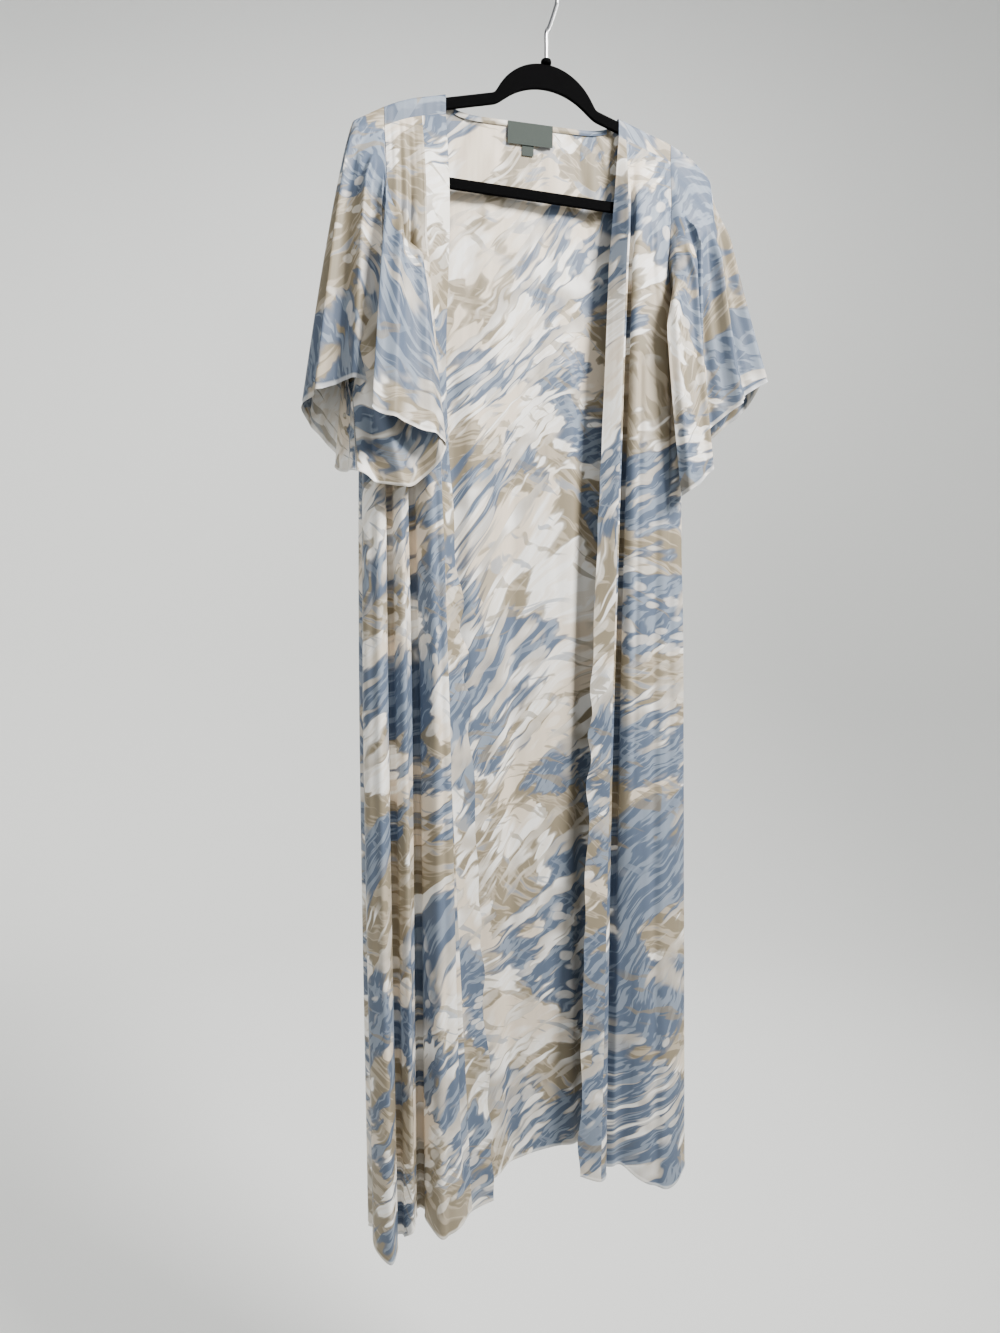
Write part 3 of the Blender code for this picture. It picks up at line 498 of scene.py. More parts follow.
def hanger_outer_half():
    """Right half of the outer outline, from the crown round the tip to the bar's middle."""
    stations = np.linspace(0.0, ARM_REACH, ARM_STATIONS)
    points = [(x, arm_top(x)) for x in stations[:-1]]
    tip_z = arm_top(ARM_REACH) - TIP_RADIUS
    points += arc(ARM_REACH, tip_z, TIP_RADIUS, TIP_TOP_ANGLE, TIP_DRAFT_ANGLE)
    bar_bottom = BAR_Z - BAR_DEPTH / 2
    points += arc(BAR_REACH, bar_bottom + BAR_CORNER, BAR_CORNER, TIP_DRAFT_ANGLE, STRAIGHT_DOWN)
    return points


def hanger_inner_half():
    """Right half of the gap between the arms and the trouser bar."""
    corner_x = ARM_REACH - TIP_RADIUS
    stations = np.linspace(0.0, corner_x - INNER_CORNER, ARM_STATIONS)
    points = [(x, arm_underside(x)) for x in stations]
    corner_z = arm_underside(corner_x) - INNER_CORNER
    points += arc(corner_x - INNER_CORNER, corner_z, INNER_CORNER, INNER_TOP_ANGLE, TIP_DRAFT_ANGLE)
    bar_top = BAR_Z + BAR_DEPTH / 2
    bar_end_x = BAR_REACH - BAR_CORNER
    points += arc(bar_end_x, bar_top + INNER_CORNER, INNER_CORNER, TIP_DRAFT_ANGLE, STRAIGHT_DOWN)
    return points


def add_closed_outline(curve, half):
    """A closed polygon from its right half and the mirrored left half."""
    points = half + [(-x, z) for x, z in reversed(half) if x > 0]
    spline = curve.splines.new("POLY")
    spline.points.add(len(points) - 1)
    for point, (x, z) in zip(spline.points, points):
        point.co = (x, z, 0.0, 1.0)
    spline.use_cyclic_u = True


# Placing pieces
def place(thing, node, slot, material):
    """Show a piece in place of a CAD node."""
    thing.data.materials.append(material)
    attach(thing, "root")
    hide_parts(node)
    return thing


def new_object(name, data):
    thing = bpy.data.objects.new(name, data)
    bpy.context.scene.collection.objects.link(thing)
    return thing


def mesh_from_curve(name, curve):
    """A mesh object with the form of a curve."""
    holder = new_object(name + "_curve", curve)
    bpy.context.view_layer.update()
    shown = holder.evaluated_get(bpy.context.evaluated_depsgraph_get())
    mesh = bpy.data.meshes.new_from_object(shown)
    bpy.data.objects.remove(holder, do_unlink=True)
    mesh.name = name
    return mesh


def turned_mesh(name, profile, sides):
    """A mesh turned about the upright axis from a profile of radii and heights."""
    mesh = bpy.data.meshes.new(name)
    bm = bmesh.new()
    verts = [bm.verts.new((radius, 0.0, z)) for radius, z in profile]
    edges = [bm.edges.new(pair) for pair in zip(verts, verts[1:])]
    bmesh.ops.spin(bm, geom=verts + edges, cent=(0, 0, 0), axis=(0, 0, 1), angle=2 * math.pi, steps=sides)
    bmesh.ops.remove_doubles(bm, verts=bm.verts, dist=MERGE_DISTANCE)
    bmesh.ops.recalc_face_normals(bm, faces=bm.faces)
    bm.to_mesh(mesh)
    bm.free()
    mesh.shade_smooth()
    return mesh


# Hanger
def make_hanger_body(material):
    curve = bpy.data.curves.new("hanger_outline", "CURVE")
    curve.dimensions = "2D"
    curve.fill_mode = "BOTH"
    curve.bevel_depth = HANGER_ROUND
    curve.bevel_resolution = HANGER_ROUND_STEPS
    curve.offset = -HANGER_ROUND
    curve.extrude = HANGER_THICKNESS / 2 - HANGER_ROUND
    add_closed_outline(curve, hanger_outer_half())
    add_closed_outline(curve, hanger_inner_half())
    mesh = mesh_from_curve("flocked_hanger", curve)
    stand_up = Matrix.Rotation(math.pi / 2, 4, "X")
    mesh.transform(Matrix.Translation((0.0, 0.0, -HOOK_RISE)) @ stand_up)
    mesh.shade_smooth()
    hanger = place(new_object("flocked_hanger", mesh), "hanger_body", "black_flock", material)
    hanger.modifiers.new("shading", "WEIGHTED_NORMAL")


def make_hanger_collar(material):
    """A small flattened knob, turned from a rounded profile."""
    bottom = CROWN_TOP_Z + SEAM_GAP - HOOK_RISE
    height = COLLAR_TOP_Z - CROWN_TOP_Z - SEAM_GAP
    profile = [(COLLAR_RADIUS * out, bottom + height * up) for out, up in COLLAR_PROFILE]
    mesh = turned_mesh("flocked_collar", profile, COLLAR_SIDES)
    place(new_object("flocked_collar", mesh), "hanger_collar", "black_flock", material)


def hook_path():
    """Middle line of the wire: up the stem, out to one side, then round over the crown."""
    stem_bottom = COLLAR_TOP_Z + SEAM_GAP
    stem_top = stem_bottom + STEM_LENGTH
    crown_centre = HOOK_RISE - (HOOK_RADIUS - HOOK_WIRE / 2)
    points = [(0.0, stem_bottom), (0.0, stem_bottom + STEM_LENGTH / 2), (0.0, stem_top)]
    points.append((HOOK_RADIUS * HOOK_BEND_SHARE, stem_top + HOOK_BEND_RISE))
    for angle in np.radians(np.linspace(*HOOK_SWEEP, HOOK_SWEEP_POINTS)):
        points.append((HOOK_RADIUS * math.cos(angle), crown_centre + HOOK_RADIUS * math.sin(angle)))
    last = len(points) - 1
    places = np.linspace(0.0, last, HOOK_STEPS * last + 1)
    return curve_weights(len(points), places) @ np.array(points)


def make_hanger_hook(material):
    curve = bpy.data.curves.new("wire", "CURVE")
    curve.dimensions = "3D"
    curve.bevel_depth = HOOK_WIRE / 2
    curve.bevel_resolution = WIRE_ROUND_STEPS
    curve.use_fill_caps = True
    path = hook_path()
    spline = curve.splines.new("POLY")
    spline.points.add(len(path) - 1)
    for point, (across, z) in zip(spline.points, path):
        point.co = (across, 0.0, z, 1.0)
    mesh = mesh_from_curve("wire_hook", curve)
    mesh.transform(Matrix.Translation((0.0, 0.0, -HOOK_RISE)) @ Matrix.Rotation(HOOK_TURN, 4, "Z"))
    mesh.shade_smooth()
    place(new_object("wire_hook", mesh), "hanger_hook", "bright_wire", material)


# Body panels
def mean_hem(table):
    return float(np.mean([row[FOLD_HEM] for row in table]))


def fold_lines(table, heights):
    """x and y of every fold line at each height, chest to hem."""
    rows = np.array([row[FOLD_PATH] for row in table])
    knots = (-CHEST_Z, -UNDERARM_Z, -MID_Z, -mean_hem(table))
    levels = np.stack([rows[:, column:column + 2].ravel() for column in (0, 2, 4, 6)])
    return monotone_curve(knots, levels, -np.asarray(heights)).reshape(len(heights), -1, 2)


def panel_surface(table, places, levels, tops):
    """Points of a panel, row by row; tops are the points of its upper edge at each place."""
    weights = curve_weights(len(table), places)
    hems = weights @ np.array([row[FOLD_HEM] for row in table])
    below_chest = np.clip(levels, 1.0, 2.0) - 1
    below_arm = np.clip(levels, 2.0, 3.0) - 2
    chest_part = CHEST_Z + (UNDERARM_Z - CHEST_Z) * below_chest
    heights = chest_part + (mean_hem(table) - UNDERARM_Z) * below_arm
    across = np.einsum("pf,nfc->npc", weights, fold_lines(table, heights))
    depth = chest_part[:, None] + (hems - UNDERARM_Z) * below_arm[:, None]
    points = np.dstack((across, depth))
    upper = np.clip(levels, 0.0, 1.0)[:, None]
    turn = np.sin(upper * math.pi / 2)
    points[:, :, 0] = tops[:, 0] + (points[:, :, 0] - tops[:, 0]) * upper
    points[:, :, 1] = tops[:, 1] + (points[:, :, 1] - tops[:, 1]) * turn
    above_chest = tops[:, 2] + (CHEST_Z - tops[:, 2]) * upper
    points[:, :, 2] = np.where(upper < 1, above_chest, points[:, :, 2])
    return points


def body_levels(table):
    """Rows of a panel: level 0 is its upper edge, 1 the chest, 2 the underarm, 3 the hem."""
    upper = np.linspace(0.0, 1.0, ROWS_TO_CHEST + 1)[:-1]
    chest = np.linspace(1.0, 2.0, ROWS_TO_UNDERARM + 1)[:-1]
    length = UNDERARM_Z - mean_hem(table)
    hem = 3 - np.array(HEM_ROWS) / length
    skirt = np.linspace(2.0, hem[0], ROWS_TO_HEM + 1)[:-1]
    return np.concatenate((upper, chest, skirt, hem))


def front_tops(table, side, places):
    """The shoulder seam of a front, from armhole to neck."""
    seam_place = len(table) - 2
    seam_reach = NECK_HALF + BAND_TOP_WIDTH[side]
    knots = (0, seam_place, seam_place + 1)
    reach = np.interp(places, knots, (SHOULDER_HALF, seam_reach, NECK_HALF))
    x = COAT_CENTRE_X + side * reach
    z = [arm_top(value) - SHOULDER_SEAM_DROP for value in x]
    return np.column_stack((x, np.full(len(x), -SHOULDER_WRAP_RADIUS), z))


def front_surface(table, side, places, levels):
    places = np.asarray(places, float)
    return panel_surface(table, places, np.asarray(levels, float), front_tops(table, side, places))


def in_neck(x):
    return abs(x - COAT_CENTRE_X) < NECK_HALF - MERGE_DISTANCE


def neckline_height(x):
    """Height of the back neckline, dipping quickly from the neck points."""
    share = (x - COAT_CENTRE_X) / NECK_HALF
    right = arm_top(COAT_CENTRE_X - NECK_HALF)
    left = arm_top(COAT_CENTRE_X + NECK_HALF)
    straight = right + (left - right) * (share + 1) / 2
    return straight - NECK_DIP * (1 - share ** NECK_CORNER_POWER)


def back_top_x(places):
    """Across the back's upper edge; the neck points fall on whole steps of the mesh."""
    middle = (len(BACK_FOLDS) - 1) / 2
    neck_reach = middle - BACK_SHOULDER_FOLDS
    knots = (-middle, -neck_reach, neck_reach, middle)
    reaches = (-SHOULDER_HALF, -NECK_HALF, NECK_HALF, SHOULDER_HALF)
    return COAT_CENTRE_X + np.interp(np.asarray(places) - middle, knots, reaches)


def back_tops(places):
    points = []
    for x in back_top_x(places):
        share = abs(x - COAT_CENTRE_X) / NECK_HALF
        if in_neck(x):
            set_back = (NECK_SET_BACK - SHOULDER_WRAP_RADIUS) * (1 - share ** NECK_CORNER_POWER)
            points.append((x, SHOULDER_WRAP_RADIUS + set_back, neckline_height(x)))
        else:
            points.append((x, SHOULDER_WRAP_RADIUS, arm_top(x)))
    return np.array(points)


def back_surface(places, levels):
    places = np.asarray(places, float)
    return panel_surface(BACK_FOLDS, places, np.asarray(levels, float), back_tops(places))


def shoulder_wrap(places):
    """Rows of the back from the shoulder seam on the front up and over the hanger."""
    x = back_top_x(places)
    top = np.array([arm_top(value) for value in x])
    turn = math.pi * SHOULDER_WRAP_RADIUS
    rows = []
    for length in np.linspace(turn + SHOULDER_SEAM_DROP, 0.0, WRAP_ROWS + 1)[:-1]:
        angle = min(length, turn) / SHOULDER_WRAP_RADIUS
        down = max(length - turn, 0.0)
        y = np.full(len(x), SHOULDER_WRAP_RADIUS * math.cos(angle))
        rows.append(np.column_stack((x, y, top + SHOULDER_WRAP_RADIUS * math.sin(angle) - down)))
    return np.array(rows)


# Cloth made from a grid of points
def grid_normals(points):
    """Unit normals of a grid of points, rows running down the cloth."""
    down = np.gradient(points, axis=0)
    across = np.gradient(points, axis=1)
    normals = np.cross(across, down)
    return normals / np.maximum(np.linalg.norm(normals, axis=2, keepdims=True), TINY)


def crease_relief(creases, places, levels):
    """Height of the listed creases over a grid."""
    relief = np.zeros((len(levels), len(places)))
    for upper_place, lower_place, upper, lower, width, height in creases:
        share = np.clip((levels - upper) / (lower - upper), 0.0, 1.0)
        centre = upper_place + (lower_place - upper_place) * share
        rise = smooth_step(upper - CREASE_LEAD, upper + CREASE_RISE, levels)
        fade = 1 - smooth_step(lower - CREASE_FADE, lower, levels)
        spread = (places[None, :] - centre[:, None]) / width
        relief += height * np.exp(-spread ** 2) * (rise * fade)[:, None]
    return relief


def hem_bead(distance):
    """Height of a narrow rolled hem, by distance from the cut edge."""
    share = np.clip(distance / HEM_WIDTH, 0.0, 1.0)
    return HEM_BEAD * np.sin(np.pi * share) ** HEM_BEAD_POWER


def length_above_hem(points):
    """Length of cloth between each point and the hem, down its own column."""
    steps_down = np.linalg.norm(np.diff(points, axis=0), axis=2)
    down = np.vstack((np.zeros(points.shape[1]), np.cumsum(steps_down, axis=0)))
    return down[-1] - down


def flat_coordinates(points, origin, mirror, anchor, up):
    """Where each point lies on the flat cloth: across from the anchor column, and up."""
    steps_across = np.linalg.norm(np.diff(points, axis=1), axis=2)
    across = np.column_stack((np.zeros(len(points)), np.cumsum(steps_across, axis=1)))
    across = across - across[:, anchor][:, None]
    return np.dstack((mirror * across + origin[0], up + origin[1], np.zeros(up.shape)))


def band_waves(distance, places, side):
    """Uneven waves along a band's free edge, dying out at its seam and at the chest."""
    turn = 2 * math.pi * distance
    wander = BAND_WANDER * np.sin(turn / BAND_WANDER_LENGTH + side)
    swell = 1 - BAND_SWELL + BAND_SWELL * np.sin(turn / BAND_SWELL_LENGTH + side)
    bend = np.sin(turn / BAND_WAVE_LENGTH + wander) * swell
    calm = 1 - smooth_step(BAND_CALM_FROM, BAND_CALM_TO, distance)
    reach = (places - places[0]) / (places[-1] - places[0])
    return BAND_WAVE * (bend * calm)[:, None] * (reach ** 2)[None, :]


def cloth_object(name, points, flat, edge, closed=False, keep=None):
    """A sheet of cloth from a grid of points, with its flat coordinates and edge distance."""
    rows, columns = points.shape[:2]
    index = np.arange(rows * columns).reshape(rows, columns)
    if closed:
        index = np.column_stack((index, index[:, 0]))
    corners = np.stack((index[:-1, :-1], index[1:, :-1], index[1:, 1:], index[:-1, 1:]), axis=-1)
    faces = corners.reshape(-1, 4)
    if keep is not None:
        faces = faces[keep.ravel()]
    world = points.reshape(-1, 3) - np.array((0.0, 0.0, HOOK_RISE))
    mesh = bpy.data.meshes.new(name)
    mesh.from_pydata(world.tolist(), [], faces.tolist())
    flat_values = mesh.attributes.new("cloth_flat", "FLOAT_VECTOR", "POINT")
    flat_values.data.foreach_set("vector", flat.reshape(-1))
    edge_values = mesh.attributes.new("hem_distance", "FLOAT", "POINT")
    edge_values.data.foreach_set("value", edge.reshape(-1))
    bm = bmesh.new()
    bm.from_mesh(mesh)
    loose = [vert for vert in bm.verts if not vert.link_faces]
    bmesh.ops.delete(bm, geom=loose, context="VERTS")
    bm.to_mesh(mesh)
    bm.free()
    mesh.shade_smooth()
    return new_object(name, mesh)


def make_back(material):
    places = np.arange((len(BACK_FOLDS) - 1) * BACK_STEPS + 1) / BACK_STEPS
    levels = body_levels(BACK_FOLDS)
    panel = back_surface(places, levels)
    distance = (3 - np.clip(levels, 2, 3)) * (UNDERARM_Z - mean_hem(BACK_FOLDS))
    relief = crease_relief(BACK_CREASES, places, levels) + hem_bead(distance)[:, None]
    wrap = shoulder_wrap(places)
    smooth = np.concatenate((wrap, panel))
    flat = flat_coordinates(smooth, BACK_FLAT, 1, len(places) // 2, length_above_hem(smooth))
    panel = panel - grid_normals(panel) * relief[:, :, None]
    points = np.concatenate((wrap, panel))
    edge = np.concatenate((np.ones(len(wrap)), distance))
    keep = np.ones((len(points) - 1, len(places) - 1), bool)
    middles = back_top_x((places[1:] + places[:-1]) / 2)
    keep[:len(wrap), [in_neck(x) for x in middles]] = False
    edges = np.repeat(edge[:, None], len(places), axis=1)
    back = cloth_object("back_cloth", points, flat, edges, keep=keep)
    place(back, "back", "printed_cloth", material)


def make_front(table, side, names, creases, flat_origin, cuts, material):
    """A front panel and the band along its open edge."""
    seam_place = len(table) - 2
    panel_places = np.arange(seam_place * FRONT_STEPS + 1) / FRONT_STEPS
    band_places = seam_place + np.arange(BAND_STEPS + 1) / BAND_STEPS
    levels = body_levels(table)
    distance = (3 - np.clip(levels, 2, 3)) * (UNDERARM_Z - mean_hem(table))
    slots = ("printed_cloth", "band_cloth")
    for part, places, slot, cut in zip(names, (panel_places, band_places), slots, cuts):
        points = front_surface(table, side, places, levels)
        relief = hem_bead(distance)[:, None] + np.zeros(len(places))
        if slot == "printed_cloth":
            relief = relief + crease_relief(creases, places, levels)
            flat = flat_coordinates(points, flat_origin, -side, len(places) - 1, points[:, :, 2])
        else:
            waves = band_waves(distance, places, side)
            relief = relief + waves
            flat = flat_coordinates(points, flat_origin, -side, 0, points[:, :, 2])
            flat = flat + np.array(BAND_FLAT_SHIFT)
            points[:, :, 0] += BAND_SWAY * waves
        points = points + side * grid_normals(points) * relief[:, :, None]
        edges = np.repeat(distance[:, None], len(places), axis=1)
        piece = place(cloth_object(part + "_cloth", points, flat, edges), part, slot, material)


# Neck pieces
def neck_surface(xs, downs):
    """Points on the back's inner side, down from the neckline."""
    middle = (len(BACK_FOLDS) - 1) / 2
    places = middle + (np.asarray(xs) - COAT_CENTRE_X) / NECK_HALF * (middle - BACK_SHOULDER_FOLDS)
    lengths = back_tops(places)[:, 2] - CHEST_Z
    rows = []
    for down in downs:
        rows.append([back_surface([at], [down / length])[0, 0] for at, length in zip(places, lengths)])
    points = np.array(rows)
    points[:, :, 0] = xs
    return points


def make_neck_binding(material):
    reach = NECK_HALF - 2 * BINDING_WIDTH
    xs = np.linspace(COAT_CENTRE_X - reach, COAT_CENTRE_X + reach, BINDING_COLUMNS)
    downs = np.linspace(0.0, BINDING_WIDTH, BINDING_ROWS)
    points = neck_surface(xs, downs)
    bulge = np.sin(np.pi * downs / BINDING_WIDTH) * BINDING_BULGE
    points[:, :, 1] -= BINDING_LIFT + bulge[:, None]
    flat = flat_coordinates(points, BINDING_FLAT, 1, 0, points[:, :, 2])
    piece = cloth_object("neck_binding_cloth", points, flat, np.ones(points.shape[:2]))
    place(piece, "neck_binding", "band_cloth", material)


def make_label(name, node, centre_x, size, drop, lift, material):
    """A flat woven piece on the inside of the back, drop below the neckline."""
    width, height = size
    xs = np.linspace(centre_x - width / 2, centre_x + width / 2, LABEL_COLUMNS)
    points = neck_surface(xs, np.linspace(drop, drop + height, LABEL_ROWS))
    points[:, :, 1] -= lift
    flat = flat_coordinates(points, BACK_FLAT, 1, 0, points[:, :, 2])
    piece = cloth_object(name, points, flat, np.ones(points.shape[:2]))
    place(piece, node, "label_weave", material)


# Sleeves
def armhole_points(front_table, side, ways):
    """Points just outside the armhole edge; ways run as in the sleeve tables."""
    x_top = COAT_CENTRE_X + side * SHOULDER_HALF
    top = arm_top(x_top)
    seam = top - SHOULDER_SEAM_DROP
    points = []
    for way in ways:
        z = UNDERARM_Z + (top + SHOULDER_WRAP_RADIUS - UNDERARM_Z) * min(way, 2 - way)
        toward = -1 if way <= 1 else 1
        upper = top if toward > 0 else seam
        if z > CHEST_Z:
            level = (upper - z) / (upper - CHEST_Z)
        else:
            level = 1 + (CHEST_Z - z) / (CHEST_Z - UNDERARM_Z)
        if z >= top:
            y = math.sqrt(max(SHOULDER_WRAP_RADIUS ** 2 - (z - top) ** 2, 0.0))
            point = np.array((x_top, toward * y, z))
        elif toward > 0:
            point = back_surface([0 if side < 0 else len(BACK_FOLDS) - 1], [level])[0, 0]
        elif z >= seam:
            point = np.array((x_top, -SHOULDER_WRAP_RADIUS, z))
        else:
            point = front_surface(front_table, side, [0], [level])[0, 0]
        points.append(point + np.array((side * SLEEVE_START_GAP, 0.0, 0.0)))
    return np.array(points)


def sleeve_surface(table, front_table, side, places, shares):
    """Points of a sleeve, row by row: from the armhole out to the cap line, then down to the hem."""
    ways = curve_weights(len(table) + 1, places) @ np.array([row[SLEEVE_WAY] for row in table] + [2.0])
    ways = np.clip(ways, 0.0, 2.0)
    starts = armhole_points(front_table, side, ways)
    weights = curve_weights(len(table), places, closed=True)
    caps = weights @ np.array([row[SLEEVE_CAP] for row in table])
    hems = weights @ np.array([row[SLEEVE_HEM] for row in table])
    lean = np.where(ways < 1, np.sin(np.pi * ways), 0.0)
    over_tip = np.maximum(0.0, 1 - np.abs(ways - 1) / SHOULDER_REACH)
    slope = SHOULDER_SLOPE_SHARE[side]
    inward = (caps[:, 0] - starts[:, 0]) * side < 0
    x_powers = np.where(inward, 1 + INWARD_LAG * lean, 1 / (1 + lean))
    y_powers = 1 / (1 + lean)
    rows = []
    for share in shares:
        if share < SLEEVE_CAP_SHARE:
            way_down = share / SLEEVE_CAP_SHARE
            rounded = slope * way_down + (1 - slope) * way_down ** SHOULDER_ROUND_POWER
            drop = way_down + over_tip * (rounded - way_down)
            moved = np.column_stack((way_down ** x_powers, way_down ** y_powers, drop))
            rows.append(starts + (caps - starts) * moved)
        else:
            fall = (share - SLEEVE_CAP_SHARE) / (1 - SLEEVE_CAP_SHARE)
            flare = fall ** SLEEVE_FLARE[side]
            rows.append(caps + (hems - caps) * np.array((flare, flare, fall)))
    return np.array(rows)


def make_sleeve(name, table, front_table, side, creases, flat_origin, material):
    places = np.arange(len(table) * SLEEVE_STEPS) / SLEEVE_STEPS
    hem_shares = 1 - np.array(HEM_ROWS) / SLEEVE_FALL
    shares = np.concatenate((np.linspace(0.0, hem_shares[0], SLEEVE_ROWS + 1)[:-1], hem_shares))
    points = sleeve_surface(table, front_table, side, places, shares)
    distance = (1 - shares) * SLEEVE_FALL
    relief = crease_relief(creases, places, shares) + hem_bead(distance)[:, None]
    flat = flat_coordinates(points, flat_origin, -side, len(places) // 2, length_above_hem(points))
    points = points + side * grid_normals(points) * relief[:, :, None]
    edges = np.repeat(distance[:, None], len(places), axis=1)
    piece = cloth_object(name + "_cloth", points, flat, edges, closed=True)
    place(piece, name, "printed_cloth", material)


# Materials
def new_material(name):
    material = bpy.data.materials.new(name)
    material.use_nodes = True
    return material, material.node_tree, material.node_tree.nodes["Principled BSDF"]


def add_node(tree, kind, settings=None, inputs=None):
    """A shader node; inputs are sockets to link or values to set, by name or number."""
    node = tree.nodes.new(kind)
    for key, value in (settings or {}).items():
        setattr(node, key, value)
    for key, value in (inputs or {}).items():
        if isinstance(value, bpy.types.NodeSocket):
            tree.links.new(value, node.inputs[key])
        else:
            node.inputs[key].default_value = value
    return node


def maths(tree, operation, first, second):
    inputs = {0: first, 1: second}
    return add_node(tree, "ShaderNodeMath", {"operation": operation}, inputs).outputs[0]


def vector_maths(tree, operation, first, second):
    inputs = {0: first, 1: second}
    return add_node(tree, "ShaderNodeVectorMath", {"operation": operation}, inputs).outputs[0]


def attribute(tree, name, output):
    """Values stored on the cloth's mesh."""
    return add_node(tree, "ShaderNodeAttribute", {"attribute_name": name}).outputs[output]


def noise(tree, vector, scale, detail=2.0, roughness=0.5):
    inputs = {"Vector": vector, "Scale": scale, "Detail": detail, "Roughness": roughness}
    return add_node(tree, "ShaderNodeTexNoise", None, inputs)


def step_between(tree, value, low, high):
    """0 below low, 1 above high."""
    inputs = {"Value": value, "From Min": low, "From Max": high}
    return add_node(tree, "ShaderNodeMapRange", {"interpolation_type": "SMOOTHSTEP"}, inputs).outputs[0]


def mix_colour(tree, factor, first, second):
    node = add_node(tree, "ShaderNodeMix", {"data_type": "RGBA"})
    for socket, value in ((node.inputs[0], factor), (node.inputs[6], first), (node.inputs[7], second)):
        if isinstance(value, bpy.types.NodeSocket):
            tree.links.new(value, socket)
        else:
            socket.default_value = value
    return node.outputs[2]


def stretched(tree, vector, angle, along, across, shift):
    """Coordinates turned by angle in degrees and squeezed, for marks that run one way."""
    inputs = {"Vector": vector, "Rotation": (0.0, 0.0, math.radians(angle)), "Location": shift}
    turned = add_node(tree, "ShaderNodeMapping", None, inputs).outputs[0]
    return vector_maths(tree, "MULTIPLY", turned, (along, across, 1.0))


def cloud(tree, vector, shift, scale, low, high, edge=None):
    """Soft-edged patches, their rims broken up by edge."""
    field = noise(tree, vector_maths(tree, "ADD", vector, shift), scale).outputs["Fac"]
    if edge is not None:
        field = maths(tree, "ADD", field, edge)
    return step_between(tree, field, low, high)


def painted(tree, mask, under, over, rim):
    """One layer of paint over another, with the rim that a wet edge leaves."""
    half_way = maths(tree, "MULTIPLY", mask, maths(tree, "SUBTRACT", 1.0, mask))
    colour = mix_colour(tree, mask, under, over)
    return mix_colour(tree, maths(tree, "MULTIPLY", half_way, PAINT_RIM), colour, rim)


def brush_marks(tree, vector, angle, along, across, shift):
    """Streaks that run one way; along and across count them in a metre."""
    grid = stretched(tree, vector, angle, along, across, shift)
    return noise(tree, grid, 1.0, roughness=MARK_ROUGHNESS).outputs["Fac"]


def swayed(tree, vector, scale, reach):
    """Coordinates pushed about by up to half of reach, so that marks bend and lines waver."""
    push = noise(tree, vector, scale, detail=1.0).outputs["Color"]
    push = vector_maths(tree, "SUBTRACT", push, (NOISE_MIDDLE, NOISE_MIDDLE, NOISE_MIDDLE))
    push = vector_maths(tree, "MULTIPLY", push, (reach, reach, 0.0))
    return vector_maths(tree, "ADD", vector, push)


def painted_ground(tree, flowing, fine, edge):
    """Ivory streaked with white, with clouds of sand."""
    ground = mix_colour(tree, step_between(tree, fine, *WHITE_EDGES), IVORY, WHITE)
    return mix_colour(tree, cloud(tree, flowing, *SAND_CLOUD, edge), ground, SAND)


def painted_clouds(tree, flowing, fine, cross, edge, ground):
    """Clouds of taupe, then clouds of blue, each in two tones."""
    taupes = mix_colour(tree, step_between(tree, cross, *PALE_TAUPE_EDGES), TAUPE, PALE_TAUPE)
    blues = mix_colour(tree, step_between(tree, fine, *PALE_BLUE_EDGES), BLUE, PALE_BLUE)
    colour = painted(tree, cloud(tree, flowing, *TAUPE_CLOUD, edge), ground, taupes, TAUPE)
    return painted(tree, cloud(tree, flowing, *BLUE_CLOUD, edge), colour, blues, BLUE)


def with_thin_lines(tree, flat, cross, colour):
    """Thin lines in places, taupe or pale blue."""
    tint = mix_colour(tree, cloud(tree, flat, *TINT_CLOUD), TAUPE, PALE_BLUE)
    lines = maths(tree, "MULTIPLY", step_between(tree, cross, *LINE_EDGES), cloud(tree, flat, *LINE_CLOUD))
    return mix_colour(tree, maths(tree, "MULTIPLY", lines, LINE_COVER), colour, tint)


def with_petals(tree, flat, flowing, colour):
    """Groups of small ivory petals."""
    inputs = {"Vector": stretched(tree, flowing, *PETAL_MARKS), "Scale": 1.0}
    distance = add_node(tree, "ShaderNodeTexVoronoi", None, inputs).outputs["Distance"]
    shape = step_between(tree, distance, *PETAL_EDGES)
    petal = maths(tree, "MULTIPLY", shape, cloud(tree, flat, *PETAL_CLOUD))
    return mix_colour(tree, maths(tree, "MULTIPLY", petal, PETAL_COVER), colour, IVORY)


def with_pale_strokes(tree, flat, broad, colour):
    """White strokes over the rest, thinner in places."""
    shape = step_between(tree, broad, *STROKE_EDGES)
    strokes = maths(tree, "MULTIPLY", shape, cloud(tree, flat, *STROKE_CLOUD))
    cover = step_between(tree, noise(tree, flat, COVER_SCALE).outputs["Fac"], *COVER_EDGES)
    return painted(tree, maths(tree, "MULTIPLY", strokes, cover), colour, WHITE, PALE_TAUPE)


def print_colour(tree, flat):
    """A loose painted print: clouds of blue, taupe and sand on ivory under pale brush marks."""
    flowing = swayed(tree, swayed(tree, flat, *BROAD_SWAY), *FINE_SWAY)
    broad = brush_marks(tree, flowing, *BROAD_MARKS)
    fine = brush_marks(tree, flowing, *FINE_MARKS)
    cross = brush_marks(tree, flowing, *CROSS_MARKS)
    edge = maths(tree, "MULTIPLY", maths(tree, "SUBTRACT", broad, NOISE_MIDDLE), RIM_BREAK)
    colour = painted_ground(tree, flowing, fine, edge)
    colour = painted_clouds(tree, flowing, fine, cross, edge, colour)
    colour = with_thin_lines(tree, flat, cross, colour)
    colour = with_petals(tree, flat, flowing, colour)
    return with_pale_strokes(tree, flat, broad, colour)


